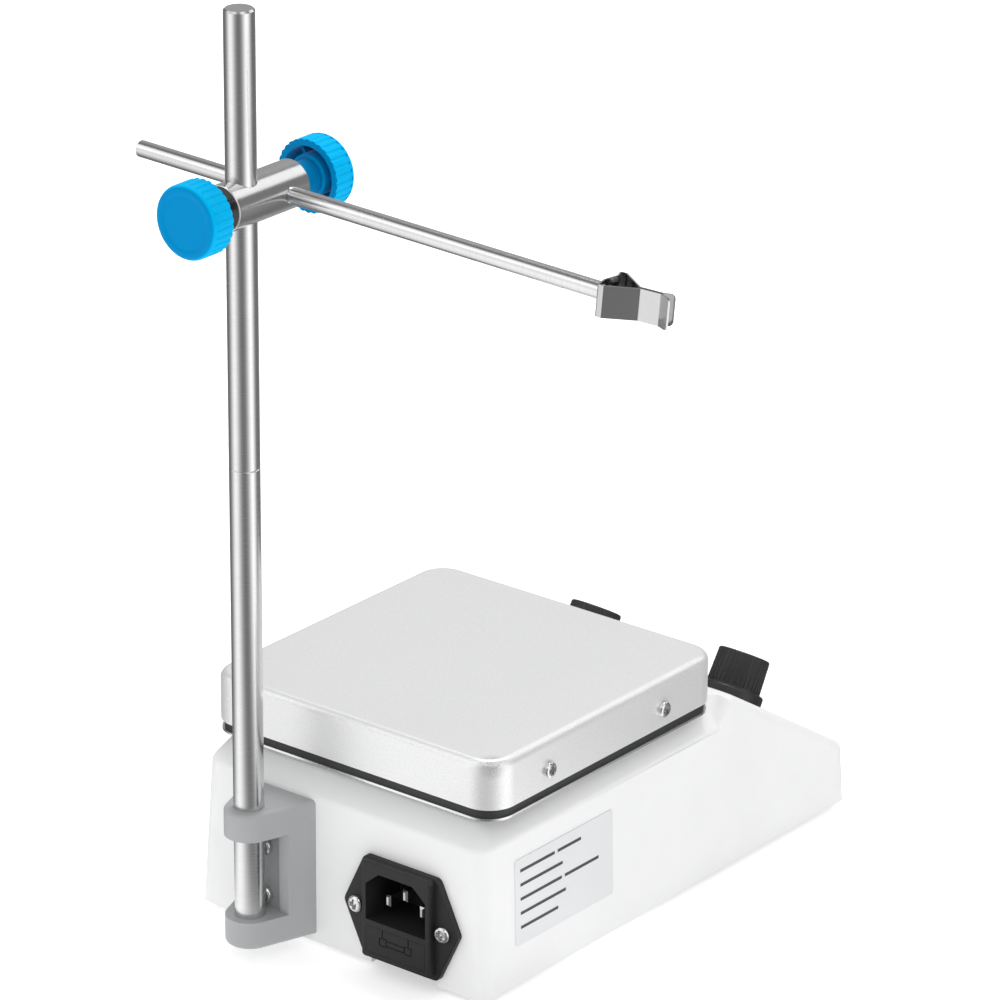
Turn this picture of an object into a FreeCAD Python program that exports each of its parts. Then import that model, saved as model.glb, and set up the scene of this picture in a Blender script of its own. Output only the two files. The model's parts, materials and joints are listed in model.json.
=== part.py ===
import FreeCAD, Part
import math
import os

from FreeCAD import Rotation, Vector

# A square-top heating magnetic stirrer with a support rod, a boss clamp, a cross
# arm and a spring clip. Millimetres, +Z up. The origin is the stirring axis where
# it meets the bench: X runs across the machine, -Y is the front with the control
# panel, +Y is the back with the mains inlet and the rod bracket.

# ---------------------------------------------------------------- driving sizes
FOOT_H = 2.5                 # rubber feet lift the housing off the bench
WALL = 2.5                   # moulded housing wall
HOUSING_HALF_W = 60.2        # half width of the housing at its bottom edge
HOUSING_TOP_HALF_W = 58.7    # half width at deck height, from the wall draft
HOUSING_BACK = 64.6          # back wall, vertical
HOUSING_FRONT = -135.0       # front lip at the bottom edge
EDGE_R = 2.6                 # upright corner edges near the bench
CORNER_R = 9.0               # they open out to this radius by deck height
FOLD_Z = FOOT_H + 51.1       # top of the plain side walls, where the shoulder starts
DECK_Z = FOOT_H + 60.7       # flat deck under the work plate, and the console crest
SHOULDER = 8.4               # how far the shoulder runs inward from wall to deck
CREST_Y = -70.8              # crest line between the deck and the control panel
CREST_FLAT = 3.2             # level strip along the top of the console
VALLEY_Y = -57.6             # where the console meets the side shoulders
PANEL_SLOPE = 32.0           # control panel, degrees from level

PLATE_HALF = 60.0            # square work plate
PLATE_Z = FOOT_H + 64.65     # bottom edge of its skirt
PLATE_TOP = FOOT_H + 81.55
PLATE_CORNER_R = 10.0
PLATE_SKIRT = 2.0
PLATE_THICK = 2.6

ROD_X = 24.5                 # support rod axis
ROD_Y = 81.0
ROD_R = 5.0
ROD_TOP = FOOT_H + 319.9
ROD_JOINT_Z = FOOT_H + 168.8
BRACKET_Z0 = FOOT_H + 2.7
BRACKET_Z1 = FOOT_H + 51.0
EAR_T = 9.7
BRACKET_NOSE_R = 8.2
BRACKET_EDGE_R = 1.4
BRACKET_HALF_W = 14.4
BRACKET_WEB_Y = 73.0         # inner face of the bracket's back web

CLAMP_Z = FOOT_H + 257.3     # clamp axis height on the rod
CLAMP_R = 7.8
CLAMP_Y0 = 57.1
CLAMP_Y1 = 90.7
ARM_Y = 65.7                 # cross arm axis
ARM_R = 2.75
ARM_X0 = -107.4              # end that carries the clip
ARM_X1 = 80.1
ARM_DROOP = 1.67             # the arm hangs this far below level, in degrees
CLIP_TWIST = 5.0             # the clip stands this far off upright, in degrees

LOCK_R = 12.15               # clamp knobs
LOCK_DEPTH = 9.2
LOCK_GAP = 7.75              # clamp end face to the knob's rim
SCREW_R = 2.0                # clamp screws, M4
KNOB_X = 32.0                # control knobs, each side of the middle
KNOB_Y = -104.0

INLET_X = -27.2
INLET_Z = FOOT_H + 21.1
INLET_SCREW_SPACING = 36.0

FOLD_R = 3.0                 # moulded edge radii of the housing
VALLEY_R = 3.5
BASE_T = 1.2                 # sheet base plate
BASE_CORNER_R = 1.0           # its corners
BASE_SCREW_R = 1.25
POST_R = 4.0                 # moulded posts that take the base screws
POST_X = 53.9
POST_YS = (-98.0, -30.0, 34.0)
POST_TOP = FOOT_H + 24.0
FOOT_R = 6.5
FOOT_STEM_R = 2.2
FOOT_X = 46.0
FOOT_YS = (-120.0, 50.0)
VENT_COUNT = 7               # slots in the base plate
VENT_Y0 = -30.0
VENT_PITCH = 8.0
VENT_HALF_L = 20.0

KNOB_XS = (-KNOB_X, KNOB_X)
KNOB_SKIRT_R = 11.1
KNOB_SKIRT_T = 3.8
KNOB_BODY_R = 9.1
KNOB_BASE = 0.9              # panel to the underside of the knob
KNOB_TOP = 16.9
KNOB_HOLLOW_TOP = 5.9
KNOB_FLUTES = 36
KNOB_OFF_TURN = 140.0        # the pointer at its stop, from straight up the panel
POT_R = 8.2
POT_DEPTH = 8.0
POT_BUSH_R = 3.5
POT_BUSH_OUT = 5.2
POT_NUT_ACROSS = 10.0
POT_SHAFT_R = 3.0
LAMP_R = 2.5
LAMP_DOWN = 14.0             # below the crest, along the panel
LAMP_PROUD = 0.8
OVERLAY_T = 0.4
OVERLAY_HALF_W = 52.0
OVERLAY_TOP = 5.0
OVERLAY_LENGTH = 62.0

PLATE_EDGE_R = 2.6
TRAY_HALF = 58.9
TRAY_Z = DECK_Z + 0.8        # the heat shield lies between the deck and the tray
TRAY_SCREW_AT = 42.0         # tray screws, each way from the stirring axis
ROTOR_WELL_R = 36.0
SIDE_SCREW_YS = (32.0, -28.7)
SIDE_SCREW_Z = PLATE_Z + 6.4
UPSTAND = 9.4                # the tray wall inside the plate's skirt
PLATE_UNDER = PLATE_TOP - PLATE_THICK
HEATER_R = 50.0
HEATER_T = 3.5
HEATER_STACK_Z = PLATE_UNDER - HEATER_T - 2.0
PRESS_T = 1.0
BOSS_AT = 41.0               # heater screws, each way from the axis
CUTOUT_AT = 31.0

MOTOR_TOP = FOOT_H + 49.0
MOTOR_Z = MOTOR_TOP - 30.0
MOTOR_R = 21.0
MOTOR_NOSE_R = 6.0
MOTOR_PLATE_T = 2.0
MOTOR_PILLAR_AT = 24.0
SHAFT_R = 2.0
SHAFT_HOLE_R = 9.0
ROTOR_Z0 = TRAY_Z + 2.0
ROTOR_Z1 = ROTOR_Z0 + 5.4
MAGNET_R = 6.5
MAGNET_T = 3.4
MAGNET_X = 23.0

BOARD_HALF_W = 42.0
BOARD_Y0 = -124.0
BOARD_Y1 = -74.0
BOARD_Z = FOOT_H + 9.2
BOARD_TOP = BOARD_Z + 1.6

INLET_SCREW_AT = INLET_SCREW_SPACING / 2
INLET_EAR = 23.9             # flange outline, from the inlet's middle
INLET_SHOULDER_X = 15.3
INLET_SHOULDER_Z = 18.1
INLET_FLANGE_T = 2.2
INLET_FACE_Y = HOUSING_BACK + 4.8
INLET_RAISED_HALF_W = 14.2
INLET_RAISED_Z0 = FOOT_H + 4.6
INLET_RAISED_Z1 = FOOT_H + 38.8
INLET_CORE_HALF_W = 13.7     # the body behind the flange, through the wall
INLET_CORE_Z0 = FOOT_H + 5.2
INLET_CORE_Z1 = FOOT_H + 37.4
INLET_BACK_Y = HOUSING_BACK - 24.0
SOCKET_HALF_W = 12.4
SOCKET_Z0 = FOOT_H + 18.2
SOCKET_Z1 = FOOT_H + 35.4
SOCKET_CUT_X = 5.4           # the socket's cut top corners
SOCKET_CUT_Z = 4.5
SOCKET_FLOOR_Y = HOUSING_BACK - 12.6
PIN_PLACES = ((-7.0, FOOT_H + 24.3), (7.0, FOOT_H + 24.3), (0.0, FOOT_H + 28.1))
PIN_TIP_Y = HOUSING_BACK + 0.2
DRAWER_HALF_W = 12.1
DRAWER_Z0 = FOOT_H + 6.8
DRAWER_Z1 = FOOT_H + 15.9
DRAWER_BACK_Y = HOUSING_BACK - 20.0
FUSE_MARK_Z = FOOT_H + 11.7

LABEL_Y0 = -3.0
LABEL_Y1 = 48.2
LABEL_Z0 = FOOT_H + 13.8
LABEL_Z1 = FOOT_H + 44.1
LABEL_T = 0.3

BRACKET_SCREW_ZS = (FOOT_H + 16.6, FOOT_H + 33.9)
ROD_FOOT_Z = FOOT_H + 5.1    # the rod stands in the lower ear's blind hole
STUD_R = 2.95
ROD_SLIDE = 0.08             # radial clearance of the clamp on the rod
ARM_SLIDE = 0.08
PAD_GAP = 0.02
PAD_LENGTH = 1.2
LOCK_FACE_T = 2.0
LOCK_SIDE_T = 2.25
LOCK_HUB_R = 7.1
LOCK_HUB_RIM = 1.3
LOCK_BOSS_R = 5.6            # boss that reaches from the hub almost to the clamp
LOCK_BOSS_REACH = LOCK_GAP - 1.0
LOCK_DISH_R = 9.8
LOCK_GROOVES = 30
LOCK_WEBS = 6
ROD_PAD_Y = ROD_Y + ROD_R + PAD_GAP
ARM_PAD_Y = ARM_Y - ARM_R - PAD_GAP
ROD_LOCK_RIM = CLAMP_Y1 + LOCK_GAP
ARM_LOCK_RIM = CLAMP_Y0 - LOCK_GAP
CLIP_SCREW_R = 1.25
CLIP_T = 0.6                 # spring strip
CLIP_H = 10.0
CLIP_BEND_R = 0.8
CLIP_LIP_R = 1.5
CLIP_LENGTH = 24.3
# The strip's outer side seen from above: how far out from the arm's end, and how far across.
CLIP_PROFILE = ((22.7, -2.3), (19.2, -0.4), (11.6, 0.4), (0.7, -7.5), (-1.9, -7.2), (0.0, -3.4),
                (0.0, 3.4), (1.8, 8.9), (4.2, 9.1), (12.7, 2.2), (19.8, 1.4), (CLIP_LENGTH, 3.6))

RUN = 0.05                   # radial running clearance of a turning shaft

X_AXIS = Vector(1, 0, 0)
Y_AXIS = Vector(0, 1, 0)
Z_AXIS = Vector(0, 0, 1)
FAR = 400.0                  # larger than anything here, for cutting tools


# ---------------------------------------------------------------- small helpers
def box(x0, x1, y0, y1, z0, z1):
    return Part.makeBox(x1 - x0, y1 - y0, z1 - z0, Vector(x0, y0, z0))


def rod(radius, start, end):
    """A cylinder between two points."""
    run = end - start
    return Part.makeCylinder(radius, run.Length, start, run)


def fused(shapes):
    result = shapes[0].fuse(shapes[1:]) if len(shapes) > 1 else shapes[0]
    return result.removeSplitter()


def group(shapes):
    """Identical loose pieces kept as separate solids in one node."""
    return Part.makeCompound(shapes)


def rounded_rect(x0, x1, y0, y1, radius, z):
    """A closed level outline with round corners."""
    centres = [(x1 - radius, y1 - radius, 0), (x0 + radius, y1 - radius, 90),
               (x0 + radius, y0 + radius, 180), (x1 - radius, y0 + radius, 270)]
    arcs = []
    for cx, cy, start in centres:
        def at(angle):
            turn = math.radians(angle)
            return Vector(cx + radius * math.cos(turn), cy + radius * math.sin(turn), z)
        arcs.append(Part.Arc(at(start), at(start + 45), at(start + 90)).toShape())
    edges = []
    for index, arc in enumerate(arcs):
        following = arcs[(index + 1) % 4]
        edges.append(arc)
        edges.append(Part.makeLine(arc.lastVertex().Point, following.firstVertex().Point))
    return Part.Wire(edges)


def rounded_slab(x0, x1, y0, y1, radius, z0, z1):
    outline = rounded_rect(x0, x1, y0, y1, radius, z0)
    return Part.Face(outline).extrude(Vector(0, 0, z1 - z0))


def prism(points, direction):
    """A flat polygon pushed along a vector."""
    outline = Part.makePolygon(points + [points[0]])
    return Part.Face(outline).extrude(direction)


def half_space(point, normal):
    """A big block that fills the side of a plane its normal points to."""
    block = box(-FAR, FAR, -FAR, FAR, 0, FAR)
    block.Placement = FreeCAD.Placement(point, Rotation(Z_AXIS, normal))
    return block


def edges_where(shape, test):
    return [edge for edge in shape.Edges if test(edge)]


def pan_head_screw(head_r, head_h, shank_r, length, seat, direction):
    """A cross-recess pan head screw. seat is under the head, direction points out of the head."""
    shank = rod(shank_r, seat - direction * length, seat)
    head = Part.makeCylinder(head_r, head_h, Vector(0, 0, 0), Z_AXIS)
    head = head.makeFillet(head_h * 0.55, [head.Edges[0]])
    slot_w = head_r * 0.28
    slot_l = head_r * 0.62
    for x, y in ((slot_w, slot_l), (slot_l, slot_w)):
        head = head.cut(box(-x, x, -y, y, head_h * 0.45, head_h + 1))
    head.Placement = FreeCAD.Placement(seat, Rotation(Z_AXIS, direction))
    return fused([shank, head])


def tube(outer_r, inner_r, start, end):
    return rod(outer_r, start, end).cut(rod(inner_r, start, end))


def hex_nut(across, thick, hole_r):
    """A nut standing on the origin with its axis along +Z."""
    reach = across / math.sqrt(3)
    corners = [Vector(reach * math.cos(math.radians(60 * i)), reach * math.sin(math.radians(60 * i)), 0)
               for i in range(6)]
    return prism(corners, Z_AXIS * thick).cut(Part.makeCylinder(hole_r, thick))


# ---------------------------------------------------------------- housing
SIDE_DRAFT = (HOUSING_HALF_W - HOUSING_TOP_HALF_W) / (DECK_Z - FOOT_H)
KNOB_DOWN = (CREST_Y - KNOB_Y) / math.cos(math.radians(PANEL_SLOPE))
PANEL_NORMAL = Vector(0, -math.sin(math.radians(PANEL_SLOPE)), math.cos(math.radians(PANEL_SLOPE)))
PANEL_DOWN = Vector(0, -math.cos(math.radians(PANEL_SLOPE)), -math.sin(math.radians(PANEL_SLOPE)))
VALLEY_NORMAL = Vector(0, DECK_Z - FOLD_Z, VALLEY_Y - CREST_Y - CREST_FLAT).normalize()


def wall_block(inset, low, top):
    """The drafted block of the four housing walls, moved inward by inset."""
    outlines = []
    for z, half_w, radius in ((low, HOUSING_HALF_W, EDGE_R), (top, HOUSING_TOP_HALF_W, CORNER_R)):
        outlines.append(rounded_rect(-half_w + inset, half_w - inset, HOUSING_FRONT + inset,
                                     HOUSING_BACK - inset, max(radius - inset, 0.6), z))
    return Part.makeLoft(outlines, True, True)


def housing_form(inset):
    """The housing's solid outer form, with every face moved inward by inset."""
    low = FOOT_H - (1.0 if inset > 0 else 0.0)
    top = DECK_Z - inset
    fold = FOLD_Z - inset
    proud = 1.0
    side = HOUSING_HALF_W - SIDE_DRAFT * (FOLD_Z - FOOT_H) - inset + proud
    back = HOUSING_BACK - inset + proud
    front = HOUSING_FRONT + 20
    foot_r = CORNER_R - inset + proud
    run = min(SHOULDER, foot_r - 0.6)
    foot = rounded_rect(-side, side, front, back, foot_r, fold)
    head = rounded_rect(-side + run, side - run, front, back - run, foot_r - run, top)
    platform = Part.makeLoft([foot, head], True, True)
    walls = box(-FAR, FAR, -FAR, FAR, low, fold)
    console = box(-FAR, FAR, -FAR, VALLEY_Y + 20, low, top)
    console = console.cut(half_space(Vector(0, VALLEY_Y, FOLD_Z) - VALLEY_NORMAL * inset, VALLEY_NORMAL))
    form = wall_block(inset, low, top).common(walls.fuse([platform, console]))
    crest = Vector(0, CREST_Y, DECK_Z) - PANEL_NORMAL * inset
    return form.cut(half_space(crest, PANEL_NORMAL)).removeSplitter().Solids[0]


def soften(form):
    """Round the housing's folds, its crest and front edge, and the two side valleys."""
    crest_back = CREST_Y + CREST_FLAT + 0.8

    def on_fold(bounds):
        return FOLD_Z - 1 < bounds.ZMin and bounds.ZMax < FOLD_Z + 3 and \
            not (bounds.XMin > -58.5 and bounds.XMax < 58.5 and bounds.YMax < -50)

    def on_console_side(bounds):
        return bounds.ZMin > FOOT_H + 0.5 and bounds.ZLength > 3 and bounds.YMax < -55 and \
            (bounds.XMin > 58 or bounds.XMax < -58)

    def on_crest(bounds):
        return bounds.ZMin > DECK_Z - 0.2 and bounds.YMax < CREST_Y + 0.1

    def on_crest_end(bounds):
        return bounds.ZMin > DECK_Z - 0.2 and bounds.YMin > CREST_Y - 0.1 and \
            bounds.YMax < crest_back and bounds.XLength < 1

    def on_front(bounds):
        return bounds.YMin < HOUSING_FRONT + 5 and FOOT_H + 0.5 < bounds.ZMin and bounds.ZMax < 35

    def in_valley(edge):
        bounds = edge.BoundBox
        return bounds.YMin > CREST_Y - 0.2 and bounds.YMax < VALLEY_Y + 3.6 and bounds.ZMin < DECK_Z - 3 and \
            abs(abs(bounds.Center.x) - 55) < 4 and bounds.XLength > 3 and bounds.ZLength > 4

    tests = (on_fold, on_console_side, on_crest, on_crest_end, on_front)
    chosen = edges_where(form, lambda edge: any(test(edge.BoundBox) for test in tests))
    form = form.makeFillet(FOLD_R, chosen)
    return form.makeFillet(VALLEY_R, edges_where(form, in_valley))


def on_panel(x, down, out):
    """A point given across the panel, down its slope from the crest and out from its surface."""
    return Vector(x, CREST_Y, DECK_Z) + PANEL_DOWN * down + PANEL_NORMAL * out


def place_on_panel(shape, x, down, out=0.0):
    """Lay a shape on the panel: its +Z points out of the panel and its +Y up the slope."""
    laid = FreeCAD.Placement(on_panel(x, down, out), Rotation(X_AXIS, PANEL_SLOPE))
    shape.Placement = laid * shape.Placement
    return shape


def four_places(half):
    return [(x, y) for x in (-half, half) for y in (-half, half)]


def post_places():
    return [(x, y) for x in (-POST_X, POST_X) for y in POST_YS]


def foot_places():
    return [(x, y) for x in (-FOOT_X, FOOT_X) for y in FOOT_YS]


def housing_shell():
    shell = soften(housing_form(0)).cut(housing_form(WALL))
    low = FOOT_H + BASE_T
    posts = [rod(POST_R, Vector(x, y, low), Vector(x, y, POST_TOP)) for x, y in post_places()]
    shell = shell.fuse(posts)
    under_deck = DECK_Z - WALL - 1
    over_deck = DECK_Z + 1
    holes = [rod(BASE_SCREW_R, Vector(x, y, 0), Vector(x, y, POST_TOP - 4)) for x, y in post_places()]
    for x in KNOB_XS:
        holes.append(rod(POT_BUSH_R, on_panel(x, KNOB_DOWN, -WALL - 3), on_panel(x, KNOB_DOWN, 3)))
        holes.append(rod(LAMP_R, on_panel(x, LAMP_DOWN, -WALL - 3), on_panel(x, LAMP_DOWN, 3)))
    for x, y in four_places(TRAY_SCREW_AT):
        holes.append(rod(2.0, Vector(x, y, under_deck), Vector(x, y, over_deck)))
    for x, y in four_places(MOTOR_PILLAR_AT):
        holes.append(rod(1.5, Vector(x, y, under_deck), Vector(x, y, over_deck)))
    holes.append(rod(SHAFT_HOLE_R, Vector(0, 0, under_deck), Vector(0, 0, over_deck)))
    inside = HOUSING_BACK - WALL - 1
    outside = HOUSING_BACK + 1
    for z in BRACKET_SCREW_ZS:
        holes.append(rod(2.0, Vector(ROD_X, inside, z), Vector(ROD_X, outside, z)))
    for x in (-INLET_SCREW_AT, INLET_SCREW_AT):
        holes.append(rod(1.7, Vector(INLET_X + x, inside, INLET_Z), Vector(INLET_X + x, outside, INLET_Z)))
    holes.append(box(INLET_X - INLET_CORE_HALF_W - 0.2, INLET_X + INLET_CORE_HALF_W + 0.2,
                     inside - 8, outside, 0, INLET_CORE_Z1 + 0.2))
    return shell.cut(holes).removeSplitter()


def base_plate():
    edge = WALL + 0.4
    top = FOOT_H + BASE_T
    plate = rounded_slab(-HOUSING_HALF_W + edge, HOUSING_HALF_W - edge, HOUSING_FRONT + edge,
                         HOUSING_BACK - edge, BASE_CORNER_R, FOOT_H, top)
    holes = [box(INLET_X - INLET_CORE_HALF_W - 1, INLET_X + INLET_CORE_HALF_W + 1,
                 HOUSING_BACK - 8, HOUSING_BACK, 0, top + 1)]
    holes += [rod(BASE_SCREW_R + 0.2, Vector(x, y, 0), Vector(x, y, top + 1)) for x, y in post_places()]
    holes += [rod(FOOT_STEM_R, Vector(x, y, 0), Vector(x, y, top + 1)) for x, y in foot_places()]
    for row in range(VENT_COUNT):
        y = VENT_Y0 + row * VENT_PITCH
        holes.append(rounded_slab(-VENT_HALF_L, VENT_HALF_L, y - 1.5, y + 1.5, 1.45, 0, top + 1))
    return plate.cut(holes)


def rubber_feet():
    """Pads with a stem pushed up through the base plate."""
    top = FOOT_H + BASE_T
    feet = []
    for x, y in foot_places():
        pad = Part.makeCone(FOOT_R - 0.8, FOOT_R, FOOT_H, Vector(x, y, 0))
        stem = rod(FOOT_STEM_R, Vector(x, y, 1), Vector(x, y, top))
        barb = Part.makeCone(FOOT_STEM_R + 0.6, FOOT_STEM_R - 0.6, 2.2, Vector(x, y, top))
        feet.append(fused([pad, stem, barb]))
    return group(feet)


def base_screws():
    return group([pan_head_screw(2.6, 1.5, BASE_SCREW_R, 12, Vector(x, y, FOOT_H), -Z_AXIS)
                  for x, y in post_places()])


# ---------------------------------------------------------------- control panel
def panel_overlay():
    film = rounded_slab(-OVERLAY_HALF_W, OVERLAY_HALF_W, -OVERLAY_LENGTH, 0, 4.0, 0, OVERLAY_T)
    film = place_on_panel(film, 0, OVERLAY_TOP)
    holes = []
    for x in KNOB_XS:
        holes.append(rod(POT_BUSH_R, on_panel(x, KNOB_DOWN, -3), on_panel(x, KNOB_DOWN, 3)))
        holes.append(rod(LAMP_R, on_panel(x, LAMP_DOWN, -3), on_panel(x, LAMP_DOWN, 3)))
    return film.cut(holes)


def indicator_lamps():
    """Domed lamps pushed up through the panel, with a flange behind it."""
    lamps = []
    for x in KNOB_XS:
        face = on_panel(x, LAMP_DOWN, LAMP_PROUD)
        barrel = rod(LAMP_R, on_panel(x, LAMP_DOWN, -7), face)
        dome = Part.makeSphere(LAMP_R, face).cut(half_space(face, PANEL_NORMAL * -1))
        flange = rod(LAMP_R + 0.5, on_panel(x, LAMP_DOWN, -WALL - 1.0), on_panel(x, LAMP_DOWN, -WALL))
        lamps.append(fused([barrel, dome, flange]))
    return group(lamps)


def potentiometer(x):
    can = rod(POT_R, on_panel(x, KNOB_DOWN, -WALL - POT_DEPTH), on_panel(x, KNOB_DOWN, -WALL))
    bush = rod(POT_BUSH_R, on_panel(x, KNOB_DOWN, -WALL - 1), on_panel(x, KNOB_DOWN, POT_BUSH_OUT))
    tags = box(-6, 6, -POT_R - 5, -POT_R + 1, -WALL - 7, -WALL - 6)
    tags = place_on_panel(tags, x, KNOB_DOWN)
    bore = rod(POT_SHAFT_R + RUN, on_panel(x, KNOB_DOWN, -WALL - POT_DEPTH + 1.5), on_panel(x, KNOB_DOWN, 9))
    return fused([can, bush, tags]).cut(bore)


def pot_nuts():
    nuts = []
    for x in KNOB_XS:
        nut = hex_nut(POT_NUT_ACROSS, 2.2, POT_BUSH_R)
        nuts.append(place_on_panel(nut, x, KNOB_DOWN, OVERLAY_T))
    return group(nuts)


def pot_shaft(x):
    low = -WALL - POT_DEPTH + 2.0
    return rod(POT_SHAFT_R, on_panel(x, KNOB_DOWN, low), on_panel(x, KNOB_DOWN, KNOB_TOP - 3.5))


def knob_pointer_bar():
    """The pointer line, turned to where the knob rests at its stop."""
    bar = box(-0.7, 0.7, 3.0, KNOB_BODY_R - 1.2, KNOB_TOP - 0.5, KNOB_TOP)
    bar.rotate(Vector(0, 0, 0), Z_AXIS, KNOB_OFF_TURN)
    return bar


def control_knob(x):
    """Fluted knob on a round skirt, hollow underneath to clear the bush and its nut."""
    shoulder = KNOB_BASE + KNOB_SKIRT_T
    skirt = Part.makeCylinder(KNOB_SKIRT_R, KNOB_SKIRT_T, Vector(0, 0, KNOB_BASE))
    skirt = skirt.makeFillet(1.1, edges_where(skirt, lambda e: e.BoundBox.ZMin > shoulder - 0.1))
    body = Part.makeCone(KNOB_BODY_R + 0.4, KNOB_BODY_R, KNOB_TOP - shoulder, Vector(0, 0, shoulder))
    body = body.makeFillet(0.8, edges_where(body, lambda e: e.BoundBox.ZMin > KNOB_TOP - 0.1))
    flutes = []
    reach = KNOB_BODY_R + 0.4
    for index in range(KNOB_FLUTES):
        turn = math.radians(360.0 * index / KNOB_FLUTES)
        foot = Vector(reach * math.cos(turn), reach * math.sin(turn), shoulder + 0.6)
        flutes.append(Part.makeCylinder(0.6, KNOB_TOP, foot))
    hollow = Part.makeCylinder(6.9, KNOB_HOLLOW_TOP, Vector(0, 0, 0))
    bore = Part.makeCylinder(POT_SHAFT_R, KNOB_TOP - 3.5)
    knob = fused([skirt, body.cut(flutes)]).cut([hollow, bore, knob_pointer_bar()])
    return place_on_panel(knob, x, KNOB_DOWN)


def knob_pointer(x):
    return place_on_panel(knob_pointer_bar(), x, KNOB_DOWN)


# ---------------------------------------------------------------- work plate and heater
def hot_plate():
    pan = rounded_slab(-PLATE_HALF, PLATE_HALF, -PLATE_HALF, PLATE_HALF, PLATE_CORNER_R,
                       PLATE_Z, PLATE_TOP)
    pan = pan.makeFillet(PLATE_EDGE_R, edges_where(pan, lambda e: e.BoundBox.ZMin > PLATE_TOP - 0.1))
    inside = PLATE_HALF - PLATE_SKIRT
    pan = pan.cut(rounded_slab(-inside, inside, -inside, inside, PLATE_CORNER_R - PLATE_SKIRT,
                               PLATE_Z - 1, PLATE_UNDER))
    bosses = [rod(4.5, Vector(x, y, HEATER_STACK_Z), Vector(x, y, PLATE_UNDER))
              for x, y in four_places(BOSS_AT)]
    holes = [rod(1.5, Vector(x, y, PLATE_Z), Vector(x, y, PLATE_UNDER)) for x, y in four_places(BOSS_AT)]
    for y in SIDE_SCREW_YS:
        holes.append(rod(1.7, Vector(-FAR, y, SIDE_SCREW_Z), Vector(FAR, y, SIDE_SCREW_Z)))
    return pan.fuse(bosses).cut(holes).removeSplitter()


def plate_tray():
    """Black heat-proof tray: its floor edge shows as a band, and its upstand holds the plate."""
    floor = rounded_slab(-TRAY_HALF, TRAY_HALF, -TRAY_HALF, TRAY_HALF, PLATE_CORNER_R - 1, TRAY_Z, PLATE_Z)
    outer = PLATE_HALF - PLATE_SKIRT - 0.15
    inner = outer - 2.4
    upstand = rounded_slab(-outer, outer, -outer, outer, PLATE_CORNER_R - PLATE_SKIRT,
                           PLATE_Z, PLATE_Z + UPSTAND)
    upstand = upstand.cut(rounded_slab(-inner, inner, -inner, inner, 6.0, PLATE_Z, PLATE_Z + UPSTAND + 1))
    holes = [rod(ROTOR_WELL_R, Vector(0, 0, TRAY_Z - 1), Vector(0, 0, PLATE_Z + 1))]
    for x, y in four_places(TRAY_SCREW_AT):
        holes.append(rod(1.5, Vector(x, y, TRAY_Z - 1), Vector(x, y, PLATE_Z + 1)))
    for y in SIDE_SCREW_YS:
        holes.append(rod(1.25, Vector(-FAR, y, SIDE_SCREW_Z), Vector(FAR, y, SIDE_SCREW_Z)))
    return fused([floor, upstand]).cut(holes)


def heat_shield():
    half = TRAY_HALF + 0.7
    sheet = rounded_slab(-half, half, -half, half, PLATE_CORNER_R - 0.5, DECK_Z, TRAY_Z)
    holes = [rod(2.0, Vector(x, y, DECK_Z - 1), Vector(x, y, TRAY_Z + 1))
             for x, y in four_places(TRAY_SCREW_AT)]
    holes.append(rod(SHAFT_HOLE_R - 1, Vector(0, 0, DECK_Z - 1), Vector(0, 0, TRAY_Z + 1)))
    return sheet.cut(holes)


def tray_screws():
    """Screws up through the deck and the shield into the tray."""
    length = PLATE_Z - DECK_Z + WALL - 0.3
    return group([pan_head_screw(3.2, 2.0, 1.5, length, Vector(x, y, DECK_Z - WALL), -Z_AXIS)
                  for x, y in four_places(TRAY_SCREW_AT)])


def plate_screws():
    """Screws in the two side skirts of the plate."""
    return group([pan_head_screw(2.7, 1.7, 1.25, 4.6, Vector(side * PLATE_HALF, y, SIDE_SCREW_Z),
                                 X_AXIS * side) for side in (-1, 1) for y in SIDE_SCREW_YS])


def heater_element():
    disc = rod(HEATER_R, Vector(0, 0, PLATE_UNDER - HEATER_T), Vector(0, 0, PLATE_UNDER))
    return disc.cut(rod(8.0, Vector(0, 0, PLATE_Z), Vector(0, 0, PLATE_TOP)))


def insulation_pad():
    return rod(HEATER_R, Vector(0, 0, HEATER_STACK_Z), Vector(0, 0, PLATE_UNDER - HEATER_T))


def heater_press_plate():
    low = HEATER_STACK_Z - PRESS_T
    half = BOSS_AT + 6
    plate = rounded_slab(-half, half, -half, half, 6.0, low, HEATER_STACK_Z)
    return plate.cut([rod(1.8, Vector(x, y, low - 1), Vector(x, y, HEATER_STACK_Z + 1))
                      for x, y in four_places(BOSS_AT)])


def heater_screws():
    return group([pan_head_screw(3.0, 1.8, 1.5, 5.5, Vector(x, y, HEATER_STACK_Z - PRESS_T), -Z_AXIS)
                  for x, y in four_places(BOSS_AT)])


def thermal_cutout():
    """Round over-temperature switch held under the press plate."""
    top = HEATER_STACK_Z - PRESS_T
    x = CUTOUT_AT
    y = -CUTOUT_AT
    can = rod(7.0, Vector(x, y, top - 4.5), Vector(x, y, top))
    flange = rod(8.0, Vector(x, y, top - 1.2), Vector(x, y, top))
    tabs = [box(x + side - 1.6, x + side + 1.6, y - 0.4, y + 0.4, top - 6.5, top - 4) for side in (-4, 4)]
    return fused([can, flange] + tabs)


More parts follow.
